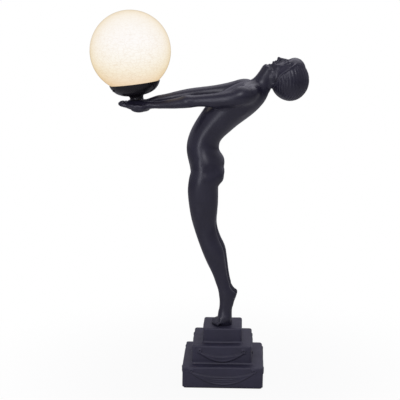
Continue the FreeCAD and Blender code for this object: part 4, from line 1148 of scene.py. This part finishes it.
def makeStem():
    radius, height, bore = lampSizes["stemRadius"], lampSizes["stemHeight"], lampSizes["nipple"]
    profile = [(bore, 0.0), (radius - 0.4, 0.0), (radius, 0.4), (radius - 0.3, 1.2), (12.6, 2.0), (12.5, 3.0),
               (12.6, 4.0), (12.9, 5.0), (13.5, 6.2), (radius + 1.4, height), (bore, height)]
    lampPiece(profile, "cupStem", cupFinish, "cup_black", "stand", "cup_stem", 96)


def makeGlobe():
    neck, foot, centre = lampSizes["neckRadius"], lampSizes["neckFoot"], lampSizes["globeCentre"]
    glass, lip, count = lampSizes["glass"], 0.4, 60

    def wall(radius, neckRadius):  # from the neck to the top
        start = math.degrees(math.asin(neckRadius / radius))
        arc = [(radius * math.sin(math.radians(a)), centre - radius * math.cos(math.radians(a)))
               for a in np.linspace(start, 180, count)]
        return arc[:-1] + [(0.0, centre + radius)]

    outer, inner = wall(lampSizes["globeRadius"], neck), wall(lampSizes["globeRadius"] - glass, neck - glass)
    edge = [(neck - glass, foot + lip), (neck - glass + lip, foot), (neck - lip, foot), (neck, foot + lip)]
    lampPiece(inner[::-1] + edge + outer, "glassGlobe", globeFinish(), "globe_glass", "globe", "globe", 160,
              closed=False, angle=40)


makeCup()
makeStem()
makeGlobe()
print("lamp head made")


def numbered(stem, count):
    return [f"{stem}_{i + 1}" for i in range(count)]


# Fittings carried over from the frame
def carryOver(material, names):
    for name in names:
        for slot in nodes[name].material_slots:
            slot.material = material


fittings = {  # finish: darker colour, lighter colour, roughness, other values, nodes
    "castIron": ((0.07, 0.07, 0.075), (0.12, 0.12, 0.125), 0.62, {"metallic": 0.9, "bump": 0.3},
                 ["base_ballast"]),
    "zincPlate": ((0.42, 0.43, 0.45), (0.56, 0.57, 0.58), 0.38, {"metallic": 1.0, "grain": 500.0},
                  ["cover_plate", "stud_washer", "tube_washer"]),
    "screwSteel": ((0.45, 0.45, 0.46), (0.62, 0.62, 0.63), 0.3, {"metallic": 1.0, "grain": 900.0},
                   [*numbered("cover_screw", 4), *numbered("ballast_screw", 2), *numbered("block_screw", 2),
                    *numbered("setscrew", 3), "foot_stud", "foot_tube", "stud_nut", "tube_nut", "neck_dowel",
                    "shoulder_dowel_left", "shoulder_dowel_right"]),
    "brass": ((0.62, 0.45, 0.18), (0.74, 0.56, 0.26), 0.3, {"metallic": 1.0, "grain": 700.0},
              ["nipple_tube", "cup_locknut", "holder_contact", "screw_shell"]),
    "bulbCapMetal": ((0.60, 0.60, 0.60), (0.75, 0.75, 0.74), 0.28, {"metallic": 1.0, "grain": 900.0},
                     ["bulb_cap", "bulb_contact"]),
    "blackFelt": ((0.012, 0.012, 0.014), (0.03, 0.03, 0.034), 0.95,
                  {"grain": 1800.0, "bump": 0.4, "spread": 0.04, "Sheen_Weight": 0.5, "Sheen_Roughness": 0.5},
                  ["felt_pad"]),
    "blackRubber": ((0.012, 0.012, 0.012), (0.022, 0.022, 0.022), 0.7, {"grain": 900.0},
                    ["cable_grommet", "globe_gasket"]),
    "creamBlock": ((0.70, 0.68, 0.62), (0.78, 0.76, 0.70), 0.45, {"grain": 600.0}, ["terminal_block"]),
    "leadSleeve": ((0.55, 0.53, 0.49), (0.66, 0.64, 0.60), 0.5, {"grain": 900.0}, ["internal_lead"]),
    "mouldedHolder": ((0.014, 0.013, 0.013), (0.022, 0.021, 0.020), 0.35, {"grain": 700.0},
                      ["holder_cap", "holder_body"]),
    "blackInsulator": ((0.01, 0.01, 0.012), (0.02, 0.02, 0.022), 0.2, {"grain": 500.0}, ["bulb_insulator"]),
}
for finishName, (low, high, roughness, more, names) in fittings.items():
    carryOver(plainFinish(finishName, low, high, roughness, **more), names)
carryOver(bulbFinish(), ["bulb_envelope", "filament_stem"])
print("fittings finished")

bpy.context.scene.view_settings.view_transform = "Standard"
